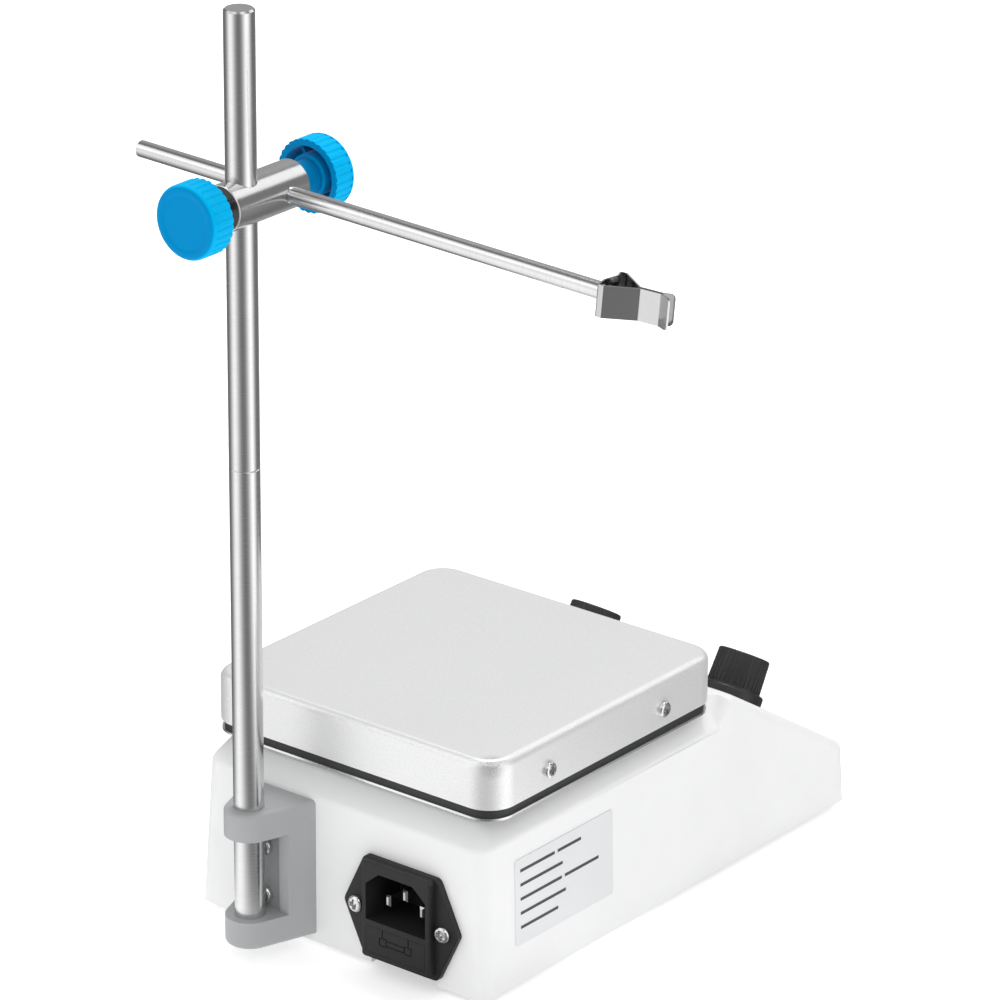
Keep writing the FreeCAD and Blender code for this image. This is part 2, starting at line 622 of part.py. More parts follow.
# ---------------------------------------------------------------- stirring drive
def motor_body():
    can = rod(MOTOR_R, Vector(0, 0, MOTOR_Z), Vector(0, 0, MOTOR_TOP))
    can = can.makeFillet(1.5, edges_where(can, lambda e: e.BoundBox.ZLength < 0.1))
    nose = rod(MOTOR_NOSE_R, Vector(0, 0, MOTOR_TOP - 1), Vector(0, 0, MOTOR_TOP + 5))
    tail = rod(5.0, Vector(0, 0, MOTOR_Z - 2), Vector(0, 0, MOTOR_Z + 1))
    bore = rod(SHAFT_R + RUN, Vector(0, 0, MOTOR_Z + 2), Vector(0, 0, MOTOR_TOP + 6))
    return fused([can, nose, tail]).cut(bore)


def motor_bracket():
    half = MOTOR_PILLAR_AT + 5
    plate = rounded_slab(-half, half, -half, half, 5.0, MOTOR_TOP, MOTOR_TOP + MOTOR_PLATE_T)
    holes = [rod(MOTOR_NOSE_R + 0.1, Vector(0, 0, 0), Vector(0, 0, FAR))]
    holes += [rod(1.6, Vector(x, y, 0), Vector(x, y, FAR)) for x, y in four_places(MOTOR_PILLAR_AT)]
    return plate.cut(holes)


def motor_pillars():
    low = MOTOR_TOP + MOTOR_PLATE_T
    high = DECK_Z - WALL
    return group([tube(3.2, 1.5, Vector(x, y, low), Vector(x, y, high))
                  for x, y in four_places(MOTOR_PILLAR_AT)])


def motor_screws():
    """Long screws up through the motor bracket and the pillars into the deck."""
    length = DECK_Z - MOTOR_TOP - 0.5
    return group([pan_head_screw(2.8, 1.8, 1.4, length, Vector(x, y, MOTOR_TOP), -Z_AXIS)
                  for x, y in four_places(MOTOR_PILLAR_AT)])


def motor_shaft():
    return rod(SHAFT_R, Vector(0, 0, MOTOR_Z + 3), Vector(0, 0, ROTOR_Z1 - 0.5))


def magnet_carrier():
    arm = rounded_slab(-MAGNET_X - 8, MAGNET_X + 8, -8, 8, 7.9, ROTOR_Z0, ROTOR_Z1)
    hub = rod(6.0, Vector(0, 0, ROTOR_Z0 - 4.5), Vector(0, 0, ROTOR_Z0 + 1))
    holes = [rod(SHAFT_R, Vector(0, 0, ROTOR_Z0 - 6), Vector(0, 0, ROTOR_Z1 - 0.5))]
    holes += [rod(MAGNET_R, Vector(x, 0, ROTOR_Z1 - MAGNET_T), Vector(x, 0, ROTOR_Z1 + 1))
              for x in (-MAGNET_X, MAGNET_X)]
    return fused([arm, hub]).cut(holes)


def drive_magnets():
    return group([rod(MAGNET_R, Vector(x, 0, ROTOR_Z1 - MAGNET_T), Vector(x, 0, ROTOR_Z1))
                  for x in (-MAGNET_X, MAGNET_X)])


# ---------------------------------------------------------------- electronics
def board_places():
    return [(x, y) for x in (-BOARD_HALF_W + 5, BOARD_HALF_W - 5) for y in (BOARD_Y0 + 4, BOARD_Y1 - 4)]


def control_board():
    board = rounded_slab(-BOARD_HALF_W, BOARD_HALF_W, BOARD_Y0, BOARD_Y1, 1.5, BOARD_Z, BOARD_TOP)
    return board.cut([rod(1.5, Vector(x, y, 0), Vector(x, y, FAR)) for x, y in board_places()])


def board_pillars():
    low = FOOT_H + BASE_T
    return group([tube(2.8, 1.2, Vector(x, y, low), Vector(x, y, BOARD_Z)) for x, y in board_places()])


def board_screws():
    return group([pan_head_screw(2.6, 1.6, 1.2, 7.0, Vector(x, y, BOARD_TOP), Z_AXIS)
                  for x, y in board_places()])


def heat_sink():
    """Finned block beside the heater's switching device."""
    base = box(-38, -30, BOARD_Y1 - 32, BOARD_Y1 - 10, BOARD_TOP, BOARD_TOP + 11)
    slots = [box(-39, -33, BOARD_Y1 - 30.5 + 4 * i, BOARD_Y1 - 28.5 + 4 * i, BOARD_TOP + 2, FAR)
             for i in range(5)]
    return base.cut(slots)


def capacitors():
    cans = []
    for x in (-14.0, 2.0):
        can = rod(5.0, Vector(x, BOARD_Y1 - 16, BOARD_TOP), Vector(x, BOARD_Y1 - 16, BOARD_TOP + 16))
        cans.append(can.makeFillet(0.8, edges_where(can, lambda e: e.BoundBox.ZLength < 0.1)))
    return group(cans)


def terminal_block():
    block = box(14, 38, BOARD_Y1 - 22, BOARD_Y1 - 12, BOARD_TOP, BOARD_TOP + 10)
    middle = BOARD_Y1 - 17
    wells = [rod(1.8, Vector(18 + 5.3 * i, middle, BOARD_TOP + 5), Vector(18 + 5.3 * i, middle, FAR))
             for i in range(4)]
    mouths = [box(16.4 + 5.3 * i, 19.6 + 5.3 * i, BOARD_Y1 - 15, FAR, BOARD_TOP + 1.5, BOARD_TOP + 5)
              for i in range(4)]
    return block.cut(wells + mouths)


# ---------------------------------------------------------------- mains inlet
def inlet_slab(half_w, z0, z1, y0, y1):
    return box(INLET_X - half_w, INLET_X + half_w, y0, y1, z0, z1)


def inlet_flange():
    """Six-sided mounting flange with pointed ears."""
    corners = [(INLET_EAR, 0), (INLET_SHOULDER_X, INLET_SHOULDER_Z), (-INLET_SHOULDER_X, INLET_SHOULDER_Z),
               (-INLET_EAR, 0), (-INLET_SHOULDER_X, -INLET_SHOULDER_Z), (INLET_SHOULDER_X, -INLET_SHOULDER_Z)]
    points = [Vector(INLET_X + x, HOUSING_BACK, INLET_Z + z) for x, z in corners]
    flange = prism(points, Y_AXIS * INLET_FLANGE_T)
    depth = edges_where(flange, lambda e: e.BoundBox.YLength > INLET_FLANGE_T - 0.1)
    flange = flange.makeFillet(2.5, depth)
    face = HOUSING_BACK + INLET_FLANGE_T
    rim = edges_where(flange, lambda e: e.BoundBox.YMin > face - 0.01)
    return flange.makeFillet(0.5, rim)


def inlet_body():
    face = INLET_FACE_Y
    raised = inlet_slab(INLET_RAISED_HALF_W, INLET_RAISED_Z0, INLET_RAISED_Z1, HOUSING_BACK, face)
    raised = raised.makeFillet(1.2, edges_where(raised, lambda e: e.BoundBox.YLength > 1))
    raised = raised.makeFillet(0.6, edges_where(raised, lambda e: e.BoundBox.YMin > face - 0.01))
    core = inlet_slab(INLET_CORE_HALF_W, INLET_CORE_Z0, INLET_CORE_Z1, INLET_BACK_Y, HOUSING_BACK + 1)
    side = SOCKET_HALF_W
    top = SOCKET_Z1
    outline = [(-side, SOCKET_Z0), (side, SOCKET_Z0), (side, top - SOCKET_CUT_Z), (side - SOCKET_CUT_X, top),
               (SOCKET_CUT_X - side, top), (-side, top - SOCKET_CUT_Z)]
    socket = prism([Vector(INLET_X + x, SOCKET_FLOOR_Y, z) for x, z in outline], Y_AXIS * 40)
    bay = inlet_slab(DRAWER_HALF_W + 0.1, DRAWER_Z0 - 0.1, DRAWER_Z1 + 0.1, DRAWER_BACK_Y - 0.5, face + 1)
    holes = [socket, bay]
    for x in (-INLET_SCREW_AT, INLET_SCREW_AT):
        holes.append(rod(1.6, Vector(INLET_X + x, HOUSING_BACK - 1, INLET_Z),
                         Vector(INLET_X + x, FAR, INLET_Z)))
    for x, z in PIN_PLACES:
        holes.append(pin_blade(x, z, INLET_BACK_Y - 1, SOCKET_FLOOR_Y + 1))
    return fused([inlet_flange(), raised, core]).cut(holes).removeSplitter()


def pin_blade(x, z, y0, y1):
    return box(INLET_X + x - 1.0, INLET_X + x + 1.0, y0, y1, z - 2.0, z + 2.0)


def inlet_pins():
    """Live, neutral and earth blades, with solder tags behind the inlet."""
    pins = []
    for x, z in PIN_PLACES:
        blade = pin_blade(x, z, INLET_BACK_Y - 6, PIN_TIP_Y)
        tip = edges_where(blade, lambda e: e.BoundBox.YMin > PIN_TIP_Y - 0.01)
        pins.append(blade.makeChamfer(0.6, tip))
    return group(pins)


def inlet_screws():
    return group([pan_head_screw(2.9, 1.9, 1.5, 10.0,
                                 Vector(INLET_X + x, HOUSING_BACK + INLET_FLANGE_T, INLET_Z), Y_AXIS)
                  for x in (-INLET_SCREW_AT, INLET_SCREW_AT)])


def inlet_nuts():
    nuts = []
    for x in (-INLET_SCREW_AT, INLET_SCREW_AT):
        nut = hex_nut(5.5, 2.4, 1.5)
        place = Vector(INLET_X + x, HOUSING_BACK - WALL, INLET_Z)
        nut.Placement = FreeCAD.Placement(place, Rotation(Z_AXIS, -Y_AXIS))
        nuts.append(nut)
    return group(nuts)


def fuse_drawer():
    """Pull-out tray whose face carries an engraved fuse outline and two finger notches."""
    face = INLET_FACE_Y
    drawer = inlet_slab(DRAWER_HALF_W, DRAWER_Z0, DRAWER_Z1, DRAWER_BACK_Y, face)
    hollow = inlet_slab(DRAWER_HALF_W - 1.2, DRAWER_Z0 + 1.2, DRAWER_Z1 + 1, DRAWER_BACK_Y + 1.2, face - 3.0)
    engraving = []
    for sign in (-1, 1):
        x = INLET_X + sign * 5.2
        cap = rounded_outline(x - 1.6, x + 1.6, 1.5)
        engraving.append(cap)
        notch_x = INLET_X + sign * 5.4
        engraving.append(box(notch_x - 0.2, notch_x + 0.2, face - 0.4, face + 1,
                             DRAWER_Z1 - 2.4, DRAWER_Z1 + 1))
    for z in (FUSE_MARK_Z - 1.1, FUSE_MARK_Z + 0.8):
        engraving.append(box(INLET_X - 3.75, INLET_X + 3.75, face - 0.4, face + 1, z, z + 0.3))
    return drawer.cut([hollow] + engraving)


def rounded_outline(x0, x1, half_h):
    """A thin engraved loop on the drawer's face."""
    depth = INLET_FACE_Y - 0.4
    line = 0.35

    def pill(grow):
        slab = box(x0 - grow, x1 + grow, depth, depth + 2,
                   FUSE_MARK_Z - half_h - grow, FUSE_MARK_Z + half_h + grow)
        return slab.makeFillet(0.7 + grow, edges_where(slab, lambda e: e.BoundBox.YLength > 1))
    return pill(0).cut(pill(-line))


def mains_fuse():
    """Glass fuse with two metal caps, lying across the drawer."""
    z = DRAWER_Z0 + 1.2 + 2.6
    y = (DRAWER_BACK_Y + INLET_FACE_Y) / 2 - 1
    glass = rod(2.3, Vector(INLET_X - 9, y, z), Vector(INLET_X + 9, y, z))
    caps = [rod(2.6, Vector(INLET_X + sign * 10, y, z), Vector(INLET_X + sign * 4.8, y, z))
            for sign in (-1, 1)]
    return fused([glass] + caps)


# ---------------------------------------------------------------- side label
def rating_label():
    """Blank film on the left wall, following the wall's draft."""
    half_l = (LABEL_Y1 - LABEL_Y0) / 2
    half_h = (LABEL_Z1 - LABEL_Z0) / 2
    film = rounded_slab(-half_l, half_l, -half_h, half_h, 1.2, 0, LABEL_T)
    middle_z = (LABEL_Z0 + LABEL_Z1) / 2
    wall_x = -HOUSING_HALF_W + SIDE_DRAFT * (middle_z - FOOT_H)
    lean = math.degrees(math.atan(SIDE_DRAFT))
    upright = Rotation(X_AXIS, 90)
    facing = Rotation(Z_AXIS, -90)
    tilt = Rotation(Y_AXIS, lean)
    middle = Vector(wall_x, (LABEL_Y0 + LABEL_Y1) / 2, middle_z)
    film.Placement = FreeCAD.Placement(middle, tilt * facing * upright)
    return film


# ---------------------------------------------------------------- rod bracket and rod
def bracket_plan(y_from):
    """Wedge-shaped plan: straight flanks that run tangent into a round nose."""
    half = BRACKET_HALF_W
    reach = ROD_Y - HOUSING_BACK
    span = math.hypot(half, reach)
    lean = math.atan2(reach, -half) - math.asin(BRACKET_NOSE_R / span)
    length = math.sqrt(span ** 2 - BRACKET_NOSE_R ** 2)
    tangent_x = half + length * math.cos(lean)
    tangent_y = HOUSING_BACK + length * math.sin(lean)
    points = [Vector(ROD_X - half, HOUSING_BACK, 0), Vector(ROD_X + half, HOUSING_BACK, 0),
              Vector(ROD_X + tangent_x, tangent_y, 0), Vector(ROD_X - tangent_x, tangent_y, 0)]
    wedge = prism(points, Z_AXIS * FAR)
    nose = Part.makeCylinder(BRACKET_NOSE_R, FAR, Vector(ROD_X, ROD_Y, 0))
    return fused([wedge, nose]).common(box(-FAR, FAR, y_from, FAR, BRACKET_Z0, BRACKET_Z1))


def rod_bracket():
    bracket = bracket_plan(HOUSING_BACK)
    corner = edges_where(bracket, lambda e: e.BoundBox.YMax > HOUSING_BACK + 1 and e.BoundBox.ZLength < 0.1)
    bracket = bracket.makeFillet(BRACKET_EDGE_R, corner)
    gap_z0 = BRACKET_Z0 + EAR_T
    gap_z1 = BRACKET_Z1 - EAR_T
    gap = box(-FAR, FAR, BRACKET_WEB_Y + 1.4, FAR, gap_z0, gap_z1)
    seat = box(ROD_X - 7, ROD_X + 7, BRACKET_WEB_Y, FAR, gap_z0, gap_z1)
    bore = rod(ROD_R + RUN, Vector(ROD_X, ROD_Y, ROD_FOOT_Z - 0.1), Vector(ROD_X, ROD_Y, FAR))
    screw_holes = [rod(2.0, Vector(ROD_X, HOUSING_BACK - 1, z), Vector(ROD_X, FAR, z))
                   for z in BRACKET_SCREW_ZS]
    return bracket.cut([gap, seat, bore] + screw_holes)


def bracket_screws():
    return group([pan_head_screw(3.2, 2.2, 1.9, 16.0, Vector(ROD_X, BRACKET_WEB_Y, z), Y_AXIS)
                  for z in BRACKET_SCREW_ZS])


def bracket_nuts():
    nuts = []
    for z in BRACKET_SCREW_ZS:
        nut = hex_nut(7.0, 3.2, 1.9)
        nut.Placement = FreeCAD.Placement(Vector(ROD_X, HOUSING_BACK - WALL, z), Rotation(Z_AXIS, -Y_AXIS))
        nuts.append(nut)
    return group(nuts)


def rod_length(z0, z1, top_chamfer):
    bar = rod(ROD_R, Vector(ROD_X, ROD_Y, z0), Vector(ROD_X, ROD_Y, z1))
    bar = bar.makeChamfer(0.25, edges_where(bar, lambda e: e.BoundBox.ZMax < z0 + 0.1))
    return bar.makeChamfer(top_chamfer, edges_where(bar, lambda e: e.BoundBox.ZMin > z1 - 0.1))


def stud_rod():
    return rod(STUD_R, Vector(ROD_X, ROD_Y, ROD_JOINT_Z - 10), Vector(ROD_X, ROD_Y, ROD_JOINT_Z + 10))


def lower_rod():
    return rod_length(ROD_FOOT_Z, ROD_JOINT_Z, 0.25).cut(stud_rod())


def upper_rod():
    return rod_length(ROD_JOINT_Z, ROD_TOP, 0.6).cut(stud_rod())


# ---------------------------------------------------------------- clamp
def clamp_axis(y):
    return Vector(ROD_X, y, CLAMP_Z)


def droop(shape):
    """Tilt a shape about the clamp's cross hole, so that the arm hangs a little."""
    shape.rotate(Vector(ROD_X, ARM_Y, CLAMP_Z), Y_AXIS, -ARM_DROOP)
    return shape


def clamp_block():
    body = rod(CLAMP_R, clamp_axis(CLAMP_Y0), clamp_axis(CLAMP_Y1))
    body = body.makeFillet(0.4, edges_where(body, lambda e: e.BoundBox.YLength < 0.1))
    rod_hole = rod(ROD_R + ROD_SLIDE, Vector(ROD_X, ROD_Y, CLAMP_Z - 20), Vector(ROD_X, ROD_Y, CLAMP_Z + 20))
    arm_hole = rod(ARM_R + ARM_SLIDE, Vector(ROD_X - 20, ARM_Y, CLAMP_Z), Vector(ROD_X + 20, ARM_Y, CLAMP_Z))
    rod_screw_hole = rod(SCREW_R + RUN, clamp_axis(ROD_Y), clamp_axis(CLAMP_Y1 + 1))
    arm_screw_hole = rod(SCREW_R + RUN, clamp_axis(CLAMP_Y0 - 1), clamp_axis(ARM_Y))
    return body.cut([rod_hole, droop(arm_hole), rod_screw_hole, arm_screw_hole])


def pressure_pad(start, side):
    """Soft disc between a lock screw and the bar that it presses on."""
    return rod(SCREW_R - 0.2, clamp_axis(start), clamp_axis(start + side * PAD_LENGTH))


def lock_screw(pad_start, rim, side):
    start = pad_start + side * PAD_LENGTH
    end = rim + side * (LOCK_DEPTH - LOCK_FACE_T - 0.2)
    return rod(SCREW_R, clamp_axis(start), clamp_axis(end))


def lock_knob(rim, side):
    """Ribbed cup, open towards the clamp, with a hub and webs inside."""
    cup = Part.makeCylinder(LOCK_R, LOCK_DEPTH)
    cup = cup.makeFillet(1.6, edges_where(cup, lambda e: e.BoundBox.ZMin > LOCK_DEPTH - 0.1))
    hollow = Part.makeCylinder(LOCK_R - LOCK_SIDE_T, LOCK_DEPTH - LOCK_FACE_T)
    hub = Part.makeCylinder(LOCK_HUB_R, LOCK_DEPTH - 0.6)
    hub = hub.makeFillet(0.5, edges_where(hub, lambda e: e.BoundBox.ZMax < 0.1))
    hub = hub.cut(Part.makeCylinder(LOCK_HUB_R - LOCK_HUB_RIM, 1.4))
    boss = Part.makeCylinder(LOCK_BOSS_R, LOCK_BOSS_REACH + 3, Vector(0, 0, -LOCK_BOSS_REACH))
    boss = boss.makeFillet(0.8, edges_where(boss, lambda e: e.BoundBox.ZMax < 0.1 - LOCK_BOSS_REACH))
    webs = []
    for index in range(LOCK_WEBS):
        web = box(LOCK_HUB_R - 1, LOCK_R - 1, -0.5, 0.5, 2.8, LOCK_DEPTH - 0.6)
        web.rotate(Vector(0, 0, 0), Z_AXIS, 360.0 * index / LOCK_WEBS)
        webs.append(web)
    grooves = []
    for index in range(LOCK_GROOVES):
        turn = math.radians(360.0 * index / LOCK_GROOVES)
        foot = Vector((LOCK_R + 0.6) * math.cos(turn), (LOCK_R + 0.6) * math.sin(turn), -1)
        grooves.append(Part.makeCylinder(0.92, LOCK_DEPTH - 0.6, foot))
    dish = Part.makeCone(LOCK_DISH_R - 1.2, LOCK_DISH_R + 1.2, 0.8, Vector(0, 0, LOCK_DEPTH - 0.4))
    bore = rod(SCREW_R, Vector(0, 0, -FAR), Vector(0, 0, LOCK_DEPTH - LOCK_FACE_T - 0.2))
    knob = fused([cup.cut([hollow] + grooves), hub, boss] + webs).cut([dish, bore])
    knob.Placement = FreeCAD.Placement(clamp_axis(rim), Rotation(Z_AXIS, Y_AXIS * side))
    return knob


# ---------------------------------------------------------------- cross arm and clip
def arm_bar(radius, x0, x1):
    return rod(radius, Vector(x0, ARM_Y, CLAMP_Z), Vector(x1, ARM_Y, CLAMP_Z))


def cross_arm():
    bar = arm_bar(ARM_R, ARM_X0, ARM_X1)
    bar = bar.makeChamfer(0.35, edges_where(bar, lambda e: e.BoundBox.XLength < 0.1))
    return droop(bar.cut(arm_bar(CLIP_SCREW_R, ARM_X0 - 1, ARM_X0 + 8)))


def clip_screw():
    seat = Vector(ARM_X0 - CLIP_T - 2 * RUN, ARM_Y, CLAMP_Z)
    return droop(pan_head_screw(2.4, 1.5, CLIP_SCREW_R, 8.0, seat, -X_AXIS))


def rounded_path(points, radius):
    """A wire through points in the plan, with each inner corner replaced by an arc."""
    edges = []
    last = points[0]
    for before, corner, after in zip(points, points[1:], points[2:]):
        back = (before - corner).normalize()
        on = (after - corner).normalize()
        half = back.getAngle(on) / 2
        reach = radius / math.tan(half)
        start = corner + back * reach
        end = corner + on * reach
        bisector = (back + on).normalize()
        middle = corner + bisector * (radius / math.sin(half) - radius)
        edges.append(Part.makeLine(last, start))
        edges.append(Part.Arc(start, middle, end).toShape())
        last = end
    edges.append(Part.makeLine(last, points[-1]))
    return Part.Wire(edges)


def spring_clip():
    """One bent strip: a spine on the arm's end, two bowed cheeks and two lips that meet."""
    outer = ARM_X0 - RUN
    path = rounded_path([Vector(outer - out, across, 0) for out, across in CLIP_PROFILE], CLIP_BEND_R)
    strip = path.makeOffset2D(-CLIP_T, openResult=True, fill=True).extrude(Z_AXIS * CLIP_H)
    strip.translate(Vector(0, ARM_Y, CLAMP_Z - CLIP_H / 2))
    lips = edges_where(strip, lambda e: e.BoundBox.XMax < outer - 22.0 and e.BoundBox.ZLength < 0.1
                       and e.BoundBox.YLength < CLIP_T and e.BoundBox.XLength < CLIP_T)
    strip = strip.makeFillet(CLIP_LIP_R, lips)
    strip = strip.cut(arm_bar(CLIP_SCREW_R + RUN, outer - 6, outer + 1))
    strip.rotate(Vector(outer, ARM_Y, CLAMP_Z), X_AXIS, CLIP_TWIST)
    return droop(strip)


# ---------------------------------------------------------------- all sub-parts
def all_parts():
    """Every sub-part by its node name."""
    heat_x, speed_x = KNOB_XS
    return {
        "housing_shell": housing_shell(),
        "base_plate": base_plate(),
        "rubber_feet": rubber_feet(),
        "base_screws": base_screws(),
        "panel_overlay": panel_overlay(),
        "indicator_lamps": indicator_lamps(),
        "potentiometers": group([potentiometer(x) for x in KNOB_XS]),
        "potentiometer_nuts": pot_nuts(),
        "heat_knob": control_knob(heat_x),
        "heat_knob_pointer": knob_pointer(heat_x),
        "heat_pot_shaft": pot_shaft(heat_x),
        "speed_knob": control_knob(speed_x),
        "speed_knob_pointer": knob_pointer(speed_x),
        "speed_pot_shaft": pot_shaft(speed_x),
        "hot_plate": hot_plate(),
        "plate_tray": plate_tray(),
        "heat_shield": heat_shield(),
        "tray_screws": tray_screws(),
        "plate_screws": plate_screws(),
        "heater_element": heater_element(),
        "insulation_pad": insulation_pad(),
        "heater_press_plate": heater_press_plate(),
        "heater_screws": heater_screws(),
        "thermal_cutout": thermal_cutout(),
        "motor_body": motor_body(),
        "motor_bracket": motor_bracket(),
        "motor_pillars": motor_pillars(),
        "motor_screws": motor_screws(),
        "motor_shaft": motor_shaft(),
        "magnet_carrier": magnet_carrier(),
        "drive_magnets": drive_magnets(),
        "control_board": control_board(),
        "board_pillars": board_pillars(),
        "board_screws": board_screws(),
        "heat_sink": heat_sink(),
        "capacitors": capacitors(),
        "terminal_block": terminal_block(),
        "inlet_body": inlet_body(),
        "inlet_pins": inlet_pins(),
        "inlet_screws": inlet_screws(),
        "inlet_nuts": inlet_nuts(),
        "fuse_drawer": fuse_drawer(),
        "mains_fuse": mains_fuse(),
        "rating_label": rating_label(),
        "rod_bracket": rod_bracket(),
        "bracket_screws": bracket_screws(),
        "bracket_nuts": bracket_nuts(),
        "lower_rod": lower_rod(),
        "upper_rod": upper_rod(),
        "joining_stud": stud_rod(),
        "clamp_block": clamp_block(),
        "rod_lock_pad": pressure_pad(ROD_PAD_Y, 1),
        "rod_lock_screw": lock_screw(ROD_PAD_Y, ROD_LOCK_RIM, 1),
        "rod_lock_knob": lock_knob(ROD_LOCK_RIM, 1),
        "arm_lock_pad": pressure_pad(ARM_PAD_Y, -1),
        "arm_lock_screw": lock_screw(ARM_PAD_Y, ARM_LOCK_RIM, -1),
        "arm_lock_knob": lock_knob(ARM_LOCK_RIM, -1),
        "cross_arm": cross_arm(),
        "spring_clip": spring_clip(),
        "clip_screw": clip_screw(),
    }


os.makedirs("parts", exist_ok=True)
for node, shape in all_parts().items():
    shape.exportStep("parts/" + node + ".step")
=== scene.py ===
import json
import math

import bmesh
import bpy
from mathutils import Matrix, Vector


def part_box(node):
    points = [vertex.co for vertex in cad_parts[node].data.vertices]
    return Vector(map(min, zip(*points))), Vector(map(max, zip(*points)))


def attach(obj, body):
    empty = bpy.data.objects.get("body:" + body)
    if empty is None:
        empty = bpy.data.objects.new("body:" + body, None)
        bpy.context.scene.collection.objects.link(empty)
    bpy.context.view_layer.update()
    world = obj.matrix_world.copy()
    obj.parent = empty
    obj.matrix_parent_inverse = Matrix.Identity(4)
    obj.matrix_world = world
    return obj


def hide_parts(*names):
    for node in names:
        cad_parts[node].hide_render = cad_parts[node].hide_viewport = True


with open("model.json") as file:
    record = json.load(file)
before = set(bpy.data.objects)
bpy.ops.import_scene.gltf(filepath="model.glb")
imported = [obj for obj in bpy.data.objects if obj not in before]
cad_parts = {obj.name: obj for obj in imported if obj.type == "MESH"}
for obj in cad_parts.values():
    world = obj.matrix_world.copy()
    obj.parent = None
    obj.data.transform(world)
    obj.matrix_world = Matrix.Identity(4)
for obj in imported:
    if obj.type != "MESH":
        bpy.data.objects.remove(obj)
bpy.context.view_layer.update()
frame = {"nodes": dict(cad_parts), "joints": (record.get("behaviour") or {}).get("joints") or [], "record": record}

NODES = frame["nodes"]
RECORD = frame["record"]
JOINTS = {joint["name"]: joint for joint in frame["joints"]}
MM = 0.001
X, Y, Z = 0, 1, 2
WHITE = (1.0, 1.0, 1.0, 1.0)
BLACK = (0.0, 0.0, 0.0, 1.0)

# ---------------------------------------------------------------- camera
CAMERA_AZIMUTH = math.radians(218.42)
CAMERA_ELEVATION = math.radians(22.13)
CAMERA_ROLL = math.radians(0.34)
CAMERA_DISTANCE = 1.8374
CAMERA_TARGET = Vector((-0.00838, -0.00729, 0.14080))
CAMERA_LENS = 203.2
CAMERA_SENSOR = 36.0
CAMERA_REACH = 50.0


def polar(azimuth, elevation):
    """Direction back from the object to a viewer at this azimuth and elevation."""
    flat = math.cos(elevation)
    return Vector((math.sin(azimuth) * flat, -math.cos(azimuth) * flat, math.sin(elevation)))


def add_camera():
    back = polar(CAMERA_AZIMUTH, CAMERA_ELEVATION)
    level = Vector((math.cos(CAMERA_AZIMUTH), math.sin(CAMERA_AZIMUTH), 0.0))
    upright = back.cross(level)
    right = level * math.cos(CAMERA_ROLL) + upright * math.sin(CAMERA_ROLL)
    data = bpy.data.cameras.new("camera")
    data.sensor_width = CAMERA_SENSOR
    data.lens = CAMERA_LENS
    data.clip_end = CAMERA_REACH
    camera = bpy.data.objects.new("camera", data)
    turn = Matrix((right, back.cross(right), back)).transposed().to_4x4()
    camera.matrix_world = Matrix.Translation(CAMERA_TARGET + back * CAMERA_DISTANCE) @ turn
    bpy.context.scene.collection.objects.link(camera)
    bpy.context.scene.camera = camera


# ---------------------------------------------------------------- node helpers
def feed(tree, socket, value):
    """Link a socket to another one, or set it to a constant."""
    if isinstance(value, bpy.types.NodeSocket):
        tree.links.new(value, socket)
    else:
        socket.default_value = value


def math_node(tree, operation, first, second=0.0):
    node = tree.nodes.new("ShaderNodeMath")
    node.operation = operation
    feed(tree, node.inputs[0], first)
    feed(tree, node.inputs[1], second)
    return node.outputs[0]


def vector_node(tree, operation, first, second=(0.0, 0.0, 0.0), output="Vector"):
    node = tree.nodes.new("ShaderNodeVectorMath")
    node.operation = operation
    feed(tree, node.inputs[0], first)
    feed(tree, node.inputs[1], second)
    return node.outputs[output]


# ---------------------------------------------------------------- stage and light
# Directions, in degrees round the object, from which the soft boxes shine on bare metal,
# and how bright each one is.
SOFT_BOXES = ((65.0, 1.1), (180.0, 1.3), (308.0, 0.24))
SOFT_BOX_SHARPNESS = 8.0
UNLIT_LEVEL = 0.15
SKY_LEVEL = 0.65

FLOOR_SIZE = 12.0
FLOOR_COLOUR = (0.75, 0.75, 0.75, 1.0)
FLOOR_ROUGHNESS = 0.9
FLOOR_GLOW = 0.52
REFLECTED_FLOOR_DROP = 0.2 * MM

LIGHT_TARGET = Vector((0.0, 0.0, 0.08))
# Name, place, diameter and power of each lamp.
LIGHTS = (
    ("top_light", (0.5, -0.9, 2.7), 1.2, 33.0),
    ("key_light", (-1.3, 1.7, 2.0), 1.6, 8.6),
    ("fill_light", (1.8, 1.2, 1.6), 1.8, 6.0),
    ("front_light", (-0.6, -2.2, 1.8), 1.8, 9.0),
)


def soft_box_glow(tree, direction):
    """Brightness from the soft boxes for a direction socket: bright lobes on a grey surround."""
    flat = vector_node(tree, "MULTIPLY", direction, (1.0, 1.0, 0.0))
    unit = vector_node(tree, "NORMALIZE", flat)
    level = UNLIT_LEVEL
    for degrees, strength in SOFT_BOXES:
        turn = math.radians(degrees)
        towards = (math.cos(turn), math.sin(turn), 0.0)
        facing = vector_node(tree, "DOT_PRODUCT", unit, towards, "Value")
        lit = math_node(tree, "MAXIMUM", facing, 0.0)
        lobe = math_node(tree, "POWER", lit, SOFT_BOX_SHARPNESS)
        lobe = math_node(tree, "MULTIPLY", lobe, strength)
        level = math_node(tree, "ADD", lobe, level)
    return level


def add_sheet(name, height):
    """A wide stage plane, and the node tree of its own material."""
    bpy.ops.mesh.primitive_plane_add(size=FLOOR_SIZE, location=(0, 0, height))
    sheet = bpy.context.object
    sheet.name = name
    material = bpy.data.materials.new(name)
    material.use_nodes = True
    sheet.data.materials.append(material)
    return sheet, material.node_tree


